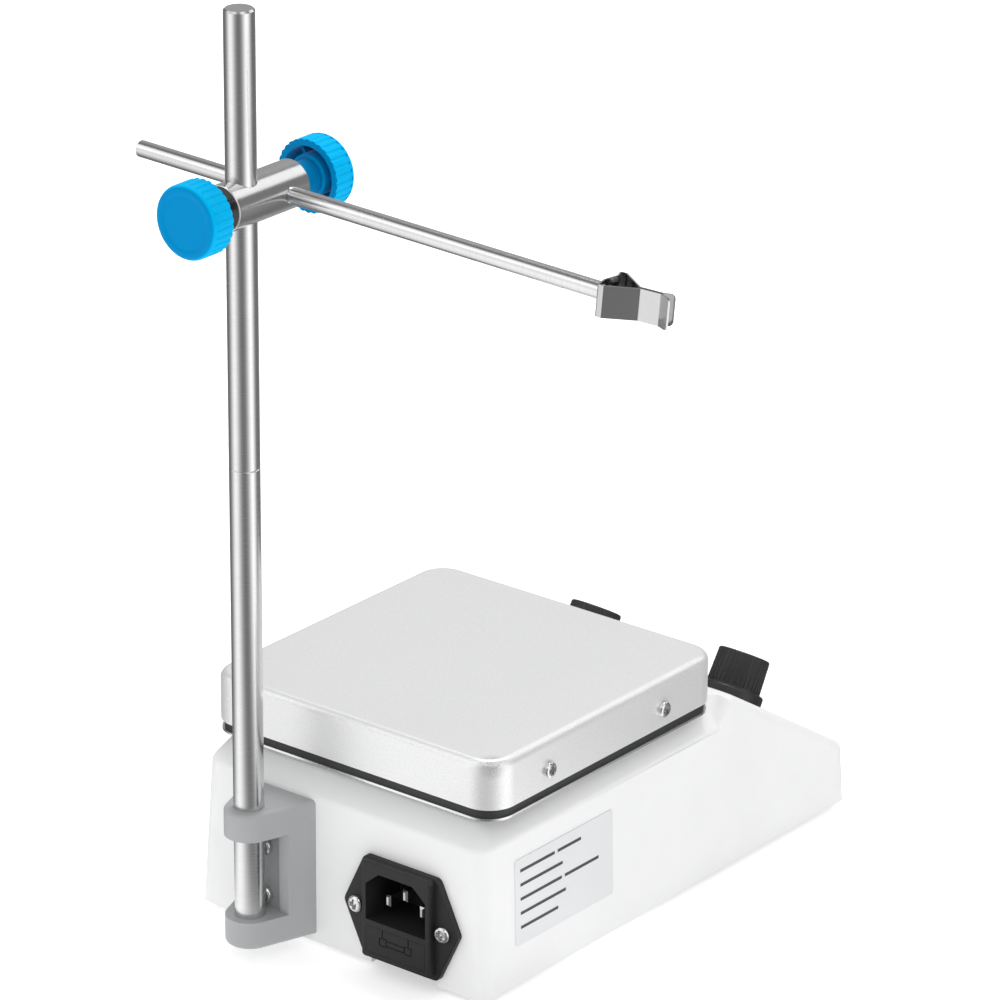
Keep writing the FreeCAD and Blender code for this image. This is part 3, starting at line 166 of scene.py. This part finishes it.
def add_floor():
    """The pale floor, left out of reflections."""
    floor, tree = add_sheet("floor", 0.0)
    floor.visible_glossy = False
    shader = tree.nodes["Principled BSDF"]
    shader.inputs["Base Color"].default_value = FLOOR_COLOUR
    shader.inputs["Roughness"].default_value = FLOOR_ROUGHNESS
    shader.inputs["Emission Color"].default_value = WHITE
    shader.inputs["Emission Strength"].default_value = FLOOR_GLOW


def add_reflected_floor():
    """A sheet that only reflections see, so that metal shows the soft boxes from below too."""
    sheet, tree = add_sheet("reflected_floor", -REFLECTED_FLOOR_DROP)
    sheet.visible_camera = False
    sheet.visible_diffuse = False
    sheet.visible_transmission = False
    sheet.visible_shadow = False
    shader = tree.nodes["Principled BSDF"]
    shader.inputs["Base Color"].default_value = BLACK
    shader.inputs["Emission Color"].default_value = WHITE
    place = tree.nodes.new("ShaderNodeTexCoord").outputs["Object"]
    tree.links.new(soft_box_glow(tree, place), shader.inputs["Emission Strength"])


def add_light(name, place, size, power):
    data = bpy.data.lights.new(name, "AREA")
    data.shape = "DISK"
    data.size = size
    data.energy = power
    light = bpy.data.objects.new(name, data)
    light.location = place
    aim = LIGHT_TARGET - Vector(place)
    light.rotation_euler = aim.to_track_quat("-Z", "Y").to_euler()
    bpy.context.scene.collection.objects.link(light)


def add_world():
    """An even white sky, which reflections see as the soft boxes instead."""
    world = bpy.data.worlds.new("studio")
    bpy.context.scene.world = world
    world.use_nodes = True
    tree = world.node_tree
    background = tree.nodes["Background"]
    background.inputs["Color"].default_value = WHITE
    direction = tree.nodes.new("ShaderNodeTexCoord").outputs["Generated"]
    is_reflection = tree.nodes.new("ShaderNodeLightPath").outputs["Is Glossy Ray"]
    mix = tree.nodes.new("ShaderNodeMix")
    mix.inputs["A"].default_value = SKY_LEVEL
    tree.links.new(is_reflection, mix.inputs["Factor"])
    tree.links.new(soft_box_glow(tree, direction), mix.inputs["B"])
    tree.links.new(mix.outputs["Result"], background.inputs["Strength"])


def add_studio():
    add_floor()
    add_reflected_floor()
    for name, place, size, power in LIGHTS:
        add_light(name, place, size, power)
    add_world()
    bpy.context.scene.view_settings.view_transform = "Standard"


# ---------------------------------------------------------------- material helpers
NOISE_LOW, NOISE_HIGH = 0.3, 0.7         # where nearly all of a noise texture's values lie
SMOOTHEST, ROUGHEST = 0.02, 1.0
MOTTLE_SCALE = 45.0
LINES_SCALE = 9000.0                     # noise per metre across brushed lines, and along them
ALONG_LINES_SCALE = 60.0
SMUDGE_SCALE = 70.0
HANDLING_SCALE = 900.0
# Sockets of a mix node that is set to colours.
MIX_FACTOR, MIX_FIRST, MIX_SECOND, MIX_RESULT = 0, 6, 7, 2


def rgb(colour):
    return (colour[0], colour[1], colour[2], 1.0)


def darkened(colour, share):
    return [channel * share for channel in colour]


class Finish:
    """A Principled material with helpers for its procedural detail."""

    def __init__(self, name, colour, roughness, metallic=0.0):
        self.material = bpy.data.materials.new(name)
        self.material.use_nodes = True
        self.tree = self.material.node_tree
        self.shader = self.tree.nodes["Principled BSDF"]
        self.roughness = roughness
        self.set("Base Color", rgb(colour))
        self.set("Roughness", roughness)
        self.set("Metallic", metallic)
        self.place = self.tree.nodes.new("ShaderNodeTexCoord").outputs["Object"]

    def set(self, socket, value):
        self.shader.inputs[socket].default_value = value

    def coordinate(self, axis):
        """The place along one axis."""
        split = self.tree.nodes.new("ShaderNodeSeparateXYZ")
        self.tree.links.new(self.place, split.inputs[0])
        return split.outputs[axis]

    def facing(self, axis):
        """How squarely the surface faces an axis, from either side, from 0 to 1."""
        split = self.tree.nodes.new("ShaderNodeSeparateXYZ")
        normal = self.tree.nodes.new("ShaderNodeTexCoord").outputs["Normal"]
        self.tree.links.new(normal, split.inputs[0])
        return math_node(self.tree, "ABSOLUTE", split.outputs[axis])

    def distance_along(self, axis, middle):
        """Distance from a middle value, measured along one axis."""
        offset = math_node(self.tree, "SUBTRACT", self.coordinate(axis), middle)
        return math_node(self.tree, "ABSOLUTE", offset)

    def product(self, first, second):
        return math_node(self.tree, "MULTIPLY", first, second)

    def stretched(self, scale):
        """Object coordinates, scaled differently along each axis."""
        mapping = self.tree.nodes.new("ShaderNodeMapping")
        mapping.inputs["Scale"].default_value = scale
        self.tree.links.new(self.place, mapping.inputs["Vector"])
        return mapping.outputs["Vector"]

    def noise(self, scale, detail=4.0, vector=None, rough=0.55):
        node = self.tree.nodes.new("ShaderNodeTexNoise")
        node.inputs["Scale"].default_value = scale
        node.inputs["Detail"].default_value = detail
        node.inputs["Roughness"].default_value = rough
        self.tree.links.new(vector or self.place, node.inputs["Vector"])
        return node.outputs["Fac"]

    def map_range(self, source, low, high, start, end, smooth):
        node = self.tree.nodes.new("ShaderNodeMapRange")
        node.interpolation_type = "SMOOTHSTEP" if smooth else "LINEAR"
        sockets = (("From Min", low), ("From Max", high), ("To Min", start), ("To Max", end))
        for name, value in sockets:
            node.inputs[name].default_value = value
        self.tree.links.new(source, node.inputs["Value"])
        return node.outputs["Result"]

    def spread(self, source, start, end):
        """Stretch a noise, which mostly sits near its middle, over start..end."""
        return self.map_range(source, NOISE_LOW, NOISE_HIGH, start, end, smooth=False)

    def ramp(self, source, low, high, start, end):
        """Smooth step from one value at low to another at high."""
        return self.map_range(source, low, high, start, end, smooth=True)

    def tint(self, factor, other):
        """Mix the colour so far towards another where factor is high."""
        node = self.tree.nodes.new("ShaderNodeMix")
        node.data_type = "RGBA"
        base = self.shader.inputs["Base Color"]
        so_far = base.links[0].from_socket if base.is_linked else base.default_value
        feed(self.tree, node.inputs[MIX_FIRST], so_far)
        node.inputs[MIX_SECOND].default_value = rgb(other)
        self.tree.links.new(factor, node.inputs[MIX_FACTOR])
        self.tree.links.new(node.outputs[MIX_RESULT], base)

    def vary_roughness(self, source, amount):
        low = max(SMOOTHEST, self.roughness - amount)
        high = min(ROUGHEST, self.roughness + amount)
        self.tree.links.new(self.spread(source, low, high), self.shader.inputs["Roughness"])

    def bump(self, source, distance, strength=1.0):
        """Add relief; several calls stack."""
        node = self.tree.nodes.new("ShaderNodeBump")
        node.inputs["Strength"].default_value = strength
        node.inputs["Distance"].default_value = distance
        self.tree.links.new(source, node.inputs["Height"])
        normal = self.shader.inputs["Normal"]
        if normal.is_linked:
            self.tree.links.new(normal.links[0].from_socket, node.inputs["Normal"])
        self.tree.links.new(node.outputs["Normal"], normal)


def moulded(name, colour, roughness, grain_mm=0.5, relief_mm=0.008, mottle=0.04):
    """Moulded plastic or paint: fine grain, faint darker mottling and uneven gloss."""
    finish = Finish(name, colour, roughness)
    grain = finish.noise(1.0 / (grain_mm * MM), detail=3.0)
    cloud = finish.noise(MOTTLE_SCALE, detail=3.0)
    finish.tint(finish.spread(cloud, 0.0, 1.0), darkened(colour, 1.0 - mottle))
    finish.vary_roughness(grain, 0.06)
    finish.bump(grain, relief_mm * MM)
    return finish


def brushed(name, colour, roughness, axis, fineness=1.0):
    """Drawn or ground metal with fine lines across one axis."""
    finish = Finish(name, colour, roughness, metallic=1.0)
    scale = [ALONG_LINES_SCALE] * 3
    scale[axis] = LINES_SCALE * fineness
    streaks = finish.noise(1.0, detail=2.0, vector=finish.stretched(scale))
    smudge = finish.noise(SMUDGE_SCALE)
    finish.tint(finish.spread(streaks, 0.0, 0.3), darkened(colour, 0.75))
    finish.tint(finish.spread(smudge, 0.0, 0.3), darkened(colour, 0.85))
    finish.vary_roughness(streaks, 0.05)
    finish.bump(streaks, 0.0006 * MM, strength=0.6)
    return finish


def plated(name, colour, roughness=0.12):
    """Plated hardware: near mirror with light handling marks."""
    finish = Finish(name, colour, roughness, metallic=1.0)
    marks = finish.noise(HANDLING_SCALE, detail=5.0)
    finish.tint(finish.spread(marks, 0.0, 0.6), darkened(colour, 0.7))
    finish.vary_roughness(marks, 0.07)
    finish.bump(marks, 0.004 * MM)
    return finish


# ---------------------------------------------------------------- finishes of single pieces
def housing_white():
    """Satin white shell, with a painted shadow greying the strip right under the tray."""
    finish = moulded("housing_white", (0.875, 0.88, 0.877), roughness=0.42,
                     grain_mm=0.45, relief_mm=0.006, mottle=0.03)
    finish.set("Specular IOR Level", 0.4)
    waviness = finish.noise(9.0, detail=2.0)
    finish.bump(waviness, 0.05 * MM, strength=0.5)
    # Painted shadow under the tray: grey graded in up to the tray's lower edge, fading out towards the console.
    tray_low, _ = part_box("plate_tray")
    painted_shadow_band = finish.ramp(finish.coordinate(Z), low=tray_low.z - 10.0 * MM,
                        high=tray_low.z - 0.5 * MM, start=0.0, end=1.0)
    strength = finish.ramp(finish.coordinate(Y), low=tray_low.y - 4.0 * MM,
                           high=tray_low.y + 12.0 * MM, start=0.0, end=0.62)
    finish.tint(finish.product(painted_shadow_band, strength), (0.52, 0.525, 0.53))
    return finish


def plate_silver():
    """Bead-blasted aluminium: tiny bright and dark specks, broad soft sheen, and a painted dark reflection on one
    corner.
    """
    finish = Finish("plate_silver", (0.94, 0.94, 0.94), roughness=0.42, metallic=0.55)
    specks = finish.noise(1700.0, detail=3.0, rough=0.75)
    sheen = finish.noise(24.0, detail=3.0)
    finish.tint(finish.spread(specks, 0.0, 0.5), (0.62, 0.625, 0.63))
    finish.tint(finish.spread(sheen, 0.0, 0.12), (0.78, 0.785, 0.79))
    # Painted reflection: a dark speckled blot on the top edge at the near corner.
    low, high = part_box("hot_plate")
    corner = (low.x + 4.0 * MM, high.y - 4.0 * MM, high.z - 2.0 * MM)
    from_corner = vector_node(finish.tree, "DISTANCE", finish.place, corner, "Value")
    painted_dark_reflection = finish.ramp(from_corner, low=1.0 * MM, high=5.6 * MM, start=0.75, end=0.0)
    finish.tint(finish.product(painted_dark_reflection, finish.spread(specks, 0.2, 1.0)), (0.30, 0.30, 0.31))
    finish.vary_roughness(specks, 0.1)
    finish.bump(specks, 0.01 * MM)
    return finish


def bracket_grey():
    """Painted casting, with painted shade darkening the sheltered web behind the rod."""
    finish = moulded("bracket_grey", (0.405, 0.412, 0.42), roughness=0.5,
                     grain_mm=0.35, relief_mm=0.010, mottle=0.06)
    low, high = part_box("rod_bracket")
    middle = (low + high) / 2
    web_half_width = 9.0 * MM
    web_half_height = (high.z - low.z) / 2 - 11.0 * MM
    fade = 3.0 * MM
    # Painted shade: the web inside the window behind the rod is tinted darker, fading out at its edges.
    painted_web_shade = finish.ramp(finish.coordinate(Y), low=low.y + 5.0 * MM, high=low.y + 11.0 * MM,
                        start=1.0, end=0.0)
    for axis, reach in ((X, web_half_width), (Z, web_half_height)):
        offset = finish.distance_along(axis, middle[axis])
        inside = finish.ramp(offset, low=reach - fade, high=reach, start=1.0, end=0.0)
        painted_web_shade = finish.product(painted_web_shade, inside)
    finish.tint(painted_web_shade, (0.22, 0.225, 0.23))
    return finish


def lock_blue():
    """Cyan plastic with painted shade inside the cup and on the flat ends, so the gripped rim reads lighter."""
    finish = moulded("lock_blue", (0.0, 0.49, 0.90), roughness=0.42,
                     grain_mm=0.9, relief_mm=0.003, mottle=0.08)
    low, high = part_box("rod_lock_knob")
    offset = vector_node(finish.tree, "SUBTRACT", finish.place, (low + high) / 2)
    across = vector_node(finish.tree, "MULTIPLY", offset, (1.0, 0.0, 1.0))
    radius = vector_node(finish.tree, "LENGTH", across, output="Value")
    rim = (high.x - low.x) / 2
    # Painted shade: darker inside the cup, and darker on the flat ends than on the top-lit rim.
    painted_cup_shade = finish.ramp(radius, low=rim * 0.74, high=rim * 0.86, start=1.0, end=0.0)
    painted_end_shade = finish.ramp(finish.facing(Y), low=0.55, high=0.97, start=0.0, end=1.0)
    finish.tint(painted_cup_shade, (0.0, 0.21, 0.47))
    finish.tint(painted_end_shade, (0.0, 0.262, 0.59))
    finish.set("Specular IOR Level", 0.03)
    unevenness = finish.noise(220.0, detail=2.0)
    finish.bump(unevenness, 0.02 * MM, strength=0.3)
    return finish


def spring_steel():
    """Polished spring strip with faint lengthwise polishing lines and a few stains."""
    finish = Finish("spring_steel", (0.56, 0.56, 0.56), roughness=0.13, metallic=1.0)
    lengthwise = finish.stretched((250.0, 250.0, 5000.0))
    streaks = finish.noise(1.0, detail=3.0, vector=lengthwise)
    stain = finish.noise(300.0)
    finish.tint(finish.spread(streaks, 0.0, 0.25), (0.52, 0.52, 0.53))
    finish.tint(finish.spread(stain, 0.0, 0.25), (0.56, 0.55, 0.55))
    finish.vary_roughness(stain, 0.05)
    finish.bump(streaks, 0.0005 * MM, strength=0.6)
    return finish


def clamp_steel():
    """Ground clamp body; its machined ends are painted dark, standing in for the shadow and dark reflection of the
    knobs.
    """
    finish = brushed("clamp_steel", (0.76, 0.76, 0.76), roughness=0.2, axis=Y)
    # Painted shadow and reflection: faces square to the tube's axis are tinted near black.
    painted_end_shadow = finish.ramp(finish.facing(Y), low=0.9, high=0.98, start=0.0, end=1.0)
    finish.tint(painted_end_shadow, (0.06, 0.06, 0.062))
    return finish


def board_green():
    """Lacquered board with a faint grid of tracks."""
    finish = moulded("board_green", (0.02, 0.17, 0.07), roughness=0.32,
                     grain_mm=0.6, relief_mm=0.01, mottle=0.3)
    brick = finish.tree.nodes.new("ShaderNodeTexBrick")
    brick.inputs["Scale"].default_value = 160.0
    brick.inputs["Mortar Size"].default_value = 0.05
    finish.tree.links.new(finish.place, brick.inputs["Vector"])
    finish.tint(brick.outputs["Fac"], (0.09, 0.30, 0.12))
    return finish


def lamp_lens():
    """Clear plastic domes, red on one side of the panel and green on the other."""
    finish = moulded("lamp_lens", (0.55, 0.05, 0.03), roughness=0.2,
                     grain_mm=0.9, relief_mm=0.01, mottle=0.25)
    finish.set("Transmission Weight", 0.25)
    low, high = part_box("indicator_lamps")
    middle = (low.x + high.x) / 2
    edge = 0.2 * MM
    is_green = finish.map_range(finish.coordinate(X), middle - edge, middle + edge,
                                start=0.0, end=1.0, smooth=False)
    finish.tint(is_green, (0.05, 0.42, 0.09))
    return finish


def fuse_glass():
    """Clear middle with bright caps at both ends."""
    finish = plated("fuse_glass", (0.72, 0.72, 0.70), roughness=0.15)
    low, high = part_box("mains_fuse")
    glass_half_length = 4.8 * MM
    from_middle = finish.distance_along(X, (low.x + high.x) / 2)
    is_glass = math_node(finish.tree, "LESS_THAN", from_middle, glass_half_length)
    finish.tint(is_glass, (0.55, 0.60, 0.60))
    is_metal = math_node(finish.tree, "SUBTRACT", 1.0, is_glass)
    finish.tree.links.new(is_metal, finish.shader.inputs["Metallic"])
    return finish


# ---------------------------------------------------------------- finishes by material slot
SPECIAL = {
    "housing_white": housing_white,
    "plate_silver": plate_silver,
    "bracket_grey": bracket_grey,
    "lock_blue": lock_blue,
    "spring_steel": spring_steel,
    "board_green": board_green,
    "lamp_lens": lamp_lens,
    "fuse_glass": fuse_glass,
}

# Colour, roughness, size of the grain and its relief in millimetres, depth of the mottling.
MOULDED = {
    "tray_black": ((0.03, 0.031, 0.032), 0.55, 0.4, 0.012, 0.2),
    "knob_black": ((0.021, 0.021, 0.022), 0.42, 0.35, 0.012, 0.25),
    "inlet_black": ((0.016, 0.016, 0.017), 0.6, 0.25, 0.015, 0.2),
    "rubber_black": ((0.025, 0.025, 0.025), 0.75, 0.5, 0.03, 0.2),
    "capacitor_blue": ((0.03, 0.04, 0.13), 0.3, 0.9, 0.01, 0.2),
    "terminal_green": ((0.05, 0.33, 0.13), 0.45, 0.4, 0.012, 0.15),
    "label_grey": ((0.76, 0.77, 0.785), 0.35, 0.3, 0.004, 0.03),
    "panel_film": ((0.60, 0.63, 0.66), 0.38, 0.25, 0.012, 0.04),
    "pointer_white": ((0.85, 0.85, 0.85), 0.3, 0.4, 0.006, 0.04),
    "heater_mica": ((0.50, 0.42, 0.31), 0.6, 1.6, 0.05, 0.35),
    "insulation_white": ((0.78, 0.76, 0.71), 0.95, 0.7, 0.12, 0.12),
    "pad_nylon": ((0.80, 0.79, 0.74), 0.5, 0.4, 0.01, 0.05),
    "print_ink": ((0.05, 0.052, 0.056), 0.55, 0.2, 0.003, 0.1),
    "label_ink": ((0.055, 0.057, 0.06), 0.55, 0.2, 0.003, 0.1),
}

# Colour, roughness, the axis that the lines cross, how fine the lines are.
BRUSHED = {
    "shield_steel": ((0.80, 0.80, 0.80), 0.25, X, 1.0),
    "rod_steel": ((0.735, 0.735, 0.735), 0.23, Z, 1.0),
    "zinc_sheet": ((0.58, 0.59, 0.61), 0.33, Y, 0.4),
}

# Colour and roughness.
PLATED = {
    "screw_chrome": ((0.78, 0.78, 0.79), 0.12),
    "brass": ((0.72, 0.53, 0.25), 0.25),
    "magnet_nickel": ((0.66, 0.65, 0.62), 0.18),
}


def finishes():
    """One finish for each material slot of the record and for both inks, by name."""
    looks = {name: build() for name, build in SPECIAL.items()}
    for build, table in ((moulded, MOULDED), (brushed, BRUSHED), (plated, PLATED)):
        for name, values in table.items():
            looks[name] = build(name, *values)
    return looks


def dress_nodes(looks):
    """Give every CAD node the finish of its material slot, or one that follows its own axis."""
    own_finish = {
        "cross_arm": brushed("arm_steel", (0.735, 0.735, 0.735), roughness=0.22, axis=X),
        "clamp_block": clamp_steel(),
    }
    for part in RECORD["subparts"]:
        finish = own_finish.get(part["node"], looks[part["material_slot"]])
        mesh = NODES[part["node"]].data
        mesh.materials.clear()
        mesh.materials.append(finish.material)
        for polygon in mesh.polygons:
            polygon.material_index = 0
    for node in ("rod_lock_knob", "arm_lock_knob"):
        NODES[node].visible_glossy = False


# ---------------------------------------------------------------- made pieces
def make_piece(name, mesh_builder, finish, body):
    """Turn a bmesh builder into an object that rides on a body."""
    shape = bmesh.new()
    mesh_builder(shape)
    mesh = bpy.data.meshes.new(name)
    shape.to_mesh(mesh)
    shape.free()
    mesh.materials.append(finish.material)
    piece = bpy.data.objects.new(name, mesh)
    bpy.context.scene.collection.objects.link(piece)
    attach(piece, body)
    return piece


# ---------------------------------------------------------------- threaded lock screws
THREAD_PITCH = 0.8 * MM
THREAD_DEPTH = 0.42 * MM
THREAD_SIDES = 40
RINGS_PER_PITCH = 8
END_TAPER = 0.6              # share of the thread's depth that a screw's end is narrowed by


def threaded_rod(shape, start, end, radius):
    """A screw with a real helical thread between two points."""
    along = end - start
    length = along.length
    turn = along.to_track_quat("Z", "Y").to_matrix().to_4x4()
    place = Matrix.Translation(start) @ turn
    rings = int(length / THREAD_PITCH * RINGS_PER_PITCH)
    rows = []
    for ring in range(rings + 1):
        z = length * ring / rings
        full = min(1.0, min(z, length - z) / THREAD_PITCH)
        row = []
        for side in range(THREAD_SIDES):
            angle = 2 * math.pi * side / THREAD_SIDES
            phase = (z / THREAD_PITCH - side / THREAD_SIDES) % 1.0
            tooth = abs(phase - 0.5) * 2
            r = radius - THREAD_DEPTH * (tooth * full + END_TAPER * (1.0 - full))
            point = Vector((r * math.cos(angle), r * math.sin(angle), z))
            row.append(shape.verts.new(place @ point))
        rows.append(row)
    for lower, upper in zip(rows, rows[1:]):
        for side in range(THREAD_SIDES):
            following = (side + 1) % THREAD_SIDES
            shape.faces.new((lower[side], lower[following], upper[following], upper[side]))
    shape.faces.new(list(reversed(rows[0])))
    shape.faces.new(rows[-1])
    for face in shape.faces:
        face.smooth = len(face.verts) == 4


def add_lock_screws(looks):
    """Threaded screws in place of the plain lock screws."""
    for node, body in (("rod_lock_screw", "rod_lock"), ("arm_lock_screw", "arm_lock")):
        low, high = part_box(node)
        middle = (low + high) / 2
        start = Vector((middle.x, low.y, middle.z))
        end = Vector((middle.x, high.y, middle.z))
        radius = (high.x - low.x) / 2

        def build(shape, start=start, end=end, radius=radius):
            threaded_rod(shape, start, end, radius)
        piece = make_piece(node + "_threaded", build, looks["screw_chrome"], body)
        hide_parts(node)


# ---------------------------------------------------------------- printed patches
INK_RISE = 0.03 * MM
INK_DEPTH = 0.02 * MM


def ink_patch(shape, place, corners):
    """A thin printed patch: a shallow prism over the corners, in a local frame."""
    lower = [shape.verts.new(place @ Vector((x, y, INK_RISE - INK_DEPTH))) for x, y in corners]
    upper = [shape.verts.new(place @ Vector((x, y, INK_RISE))) for x, y in corners]
    shape.faces.new(upper)
    shape.faces.new(list(reversed(lower)))
    count = len(corners)
    for index in range(count):
        following = (index + 1) % count
        shape.faces.new((lower[index], lower[following], upper[following], upper[index]))


# ---------------------------------------------------------------- dials of the control knobs
KNOB_PIVOT_OUT = 9.6 * MM        # from the joint's point down to the face of the panel film
TICK_INNER = 12.6 * MM
TICK_OUTER = 14.6 * MM
SHORT_TICK_OUTER = 13.8 * MM
TICK_HALF = 0.16 * MM
SHORT_TICK_HALF = 0.10 * MM
TICKS = 21
ARC_RADIUS = TICK_INNER - 0.25 * MM
ARC_HALF = 0.12 * MM
ARC_STEPS = 56
NUMBER_RING = 17.2 * MM
NUMBER_SIZE = 3.0 * MM
HIGHEST_NUMBER = 10
NUMBER_STEP = 2
SWEEP = math.radians(280.0)
STOP_TURN = math.radians(140.0)


def panel_frame(joint):
    """Place at the foot of a control knob: +Z out of the panel and +Y up its slope."""
    out = Vector(joint["axis"]).normalized()
    across = Vector((1.0, 0.0, 0.0))
    up = out.cross(across)
    origin = Vector(joint["pos_m"]) - out * KNOB_PIVOT_OUT
    turn = Matrix((across, up, out)).transposed().to_4x4()
    return Matrix.Translation(origin) @ turn


def add_tick(shape, place, angle, outer, half_width):
    """A tick along a ray; angle is turned left from straight up."""
    ray = Vector((-math.sin(angle), math.cos(angle)))
    side = Vector((ray.y, -ray.x)) * half_width
    corners = (ray * outer - side, ray * outer + side,
               ray * TICK_INNER + side, ray * TICK_INNER - side)
    ink_patch(shape, place, [(corner.x, corner.y) for corner in corners])


def add_arc(shape, place):
    """A thin printed arc just inside the ticks, made of short patches."""
    inner, outer = ARC_RADIUS - ARC_HALF, ARC_RADIUS + ARC_HALF
    for step in range(ARC_STEPS):
        start = -STOP_TURN + SWEEP * step / ARC_STEPS
        end = -STOP_TURN + SWEEP * (step + 1) / ARC_STEPS
        rays = ((start, inner), (start, outer), (end, outer), (end, inner))
        corners = [(-math.sin(angle) * r, math.cos(angle) * r) for angle, r in rays]
        ink_patch(shape, place, corners)


def add_dial_scale(place, knob, ink):
    def build(shape):
        for tick in range(TICKS):
            angle = STOP_TURN - SWEEP * tick / (TICKS - 1)
            if tick % 2 == 0:
                add_tick(shape, place, angle, TICK_OUTER, TICK_HALF)
            else:
                add_tick(shape, place, angle, SHORT_TICK_OUTER, SHORT_TICK_HALF)
        add_arc(shape, place)
    make_piece(knob + "_scale", build, ink, "base")


def add_dial_numbers(place, knob, ink):
    for number in range(0, HIGHEST_NUMBER + 1, NUMBER_STEP):
        angle = STOP_TURN - SWEEP * number / HIGHEST_NUMBER
        data = bpy.data.curves.new(f"{knob}_number_{number}", "FONT")
        data.body = str(number)
        data.size = NUMBER_SIZE
        data.extrude = INK_DEPTH / 2
        data.align_x = "CENTER"
        data.align_y = "CENTER"
        text = bpy.data.objects.new(data.name, data)
        spot = Vector((-math.sin(angle) * NUMBER_RING, math.cos(angle) * NUMBER_RING, INK_RISE))
        text.matrix_world = place @ Matrix.Translation(spot)
        bpy.context.scene.collection.objects.link(text)
        mesh = bpy.data.meshes.new_from_object(text)
        mesh.materials.append(ink.material)
        piece = bpy.data.objects.new(f"{knob}_mark_{number}", mesh)
        piece.matrix_world = text.matrix_world
        bpy.context.scene.collection.objects.link(piece)
        bpy.data.objects.remove(text)
        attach(piece, "base")


def add_dials(ink):
    """Tick marks, a thin arc and the numbers 0 to 10 round each control knob."""
    for knob in ("heat_knob", "speed_knob"):
        place = panel_frame(JOINTS[knob + "_turn"])
        add_dial_scale(place, knob, ink)
        add_dial_numbers(place, knob, ink)


# ---------------------------------------------------------------- side label
# Lengths of the bars in each line, as shares of the label's width.
LABEL_BARS = ((0.35, 0.24), (0.43,), (0.42, 0.35), (0.46,), (0.38,))
LABEL_BAR_HALF = 0.55 * MM
LABEL_MARGIN = 0.05          # shares of the label's width
LABEL_BAR_GAP = 0.03
LABEL_TOP_LINE = 0.36        # shares of the label's height
LABEL_LINE_PITCH = 0.165


def label_frame():
    """Place at the middle of the side label: +X along the lines, +Y up, +Z outward."""
    low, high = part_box("rating_label")
    mesh = NODES["rating_label"].data
    outward = min((face.normal for face in mesh.polygons), key=lambda normal: normal.x).copy()
    along = Vector((0.0, -1.0, 0.0))
    up = outward.cross(along)
    face_height = max(vertex.co.dot(outward) for vertex in mesh.vertices)
    middle = (low + high) / 2
    middle += outward * (face_height - middle.dot(outward))
    turn = Matrix((along, up, outward)).transposed().to_4x4()
    return Matrix.Translation(middle) @ turn, high.y - low.y, high.z - low.z


def add_label_bars(ink):
    """Plain bars where a real label has printed lines; there is no lettering."""
    place, width, height = label_frame()

    def build(shape):
        for row, bars in enumerate(LABEL_BARS):
            left = width * (LABEL_MARGIN - 0.5)
            y = height * (LABEL_TOP_LINE - LABEL_LINE_PITCH * row)
            below, above = y - LABEL_BAR_HALF, y + LABEL_BAR_HALF
            for share in bars:
                right = left + width * share
                ink_patch(shape, place, [(left, below), (right, below), (right, above), (left, above)])
                left = right + width * LABEL_BAR_GAP
    make_piece("label_bars", build, ink, "base")


# ---------------------------------------------------------------- assemble
def build_scene():
    add_camera()
    add_studio()
    looks = finishes()
    dress_nodes(looks)
    add_lock_screws(looks)
    add_dials(looks["print_ink"])
    add_label_bars(looks["label_ink"])


build_scene()
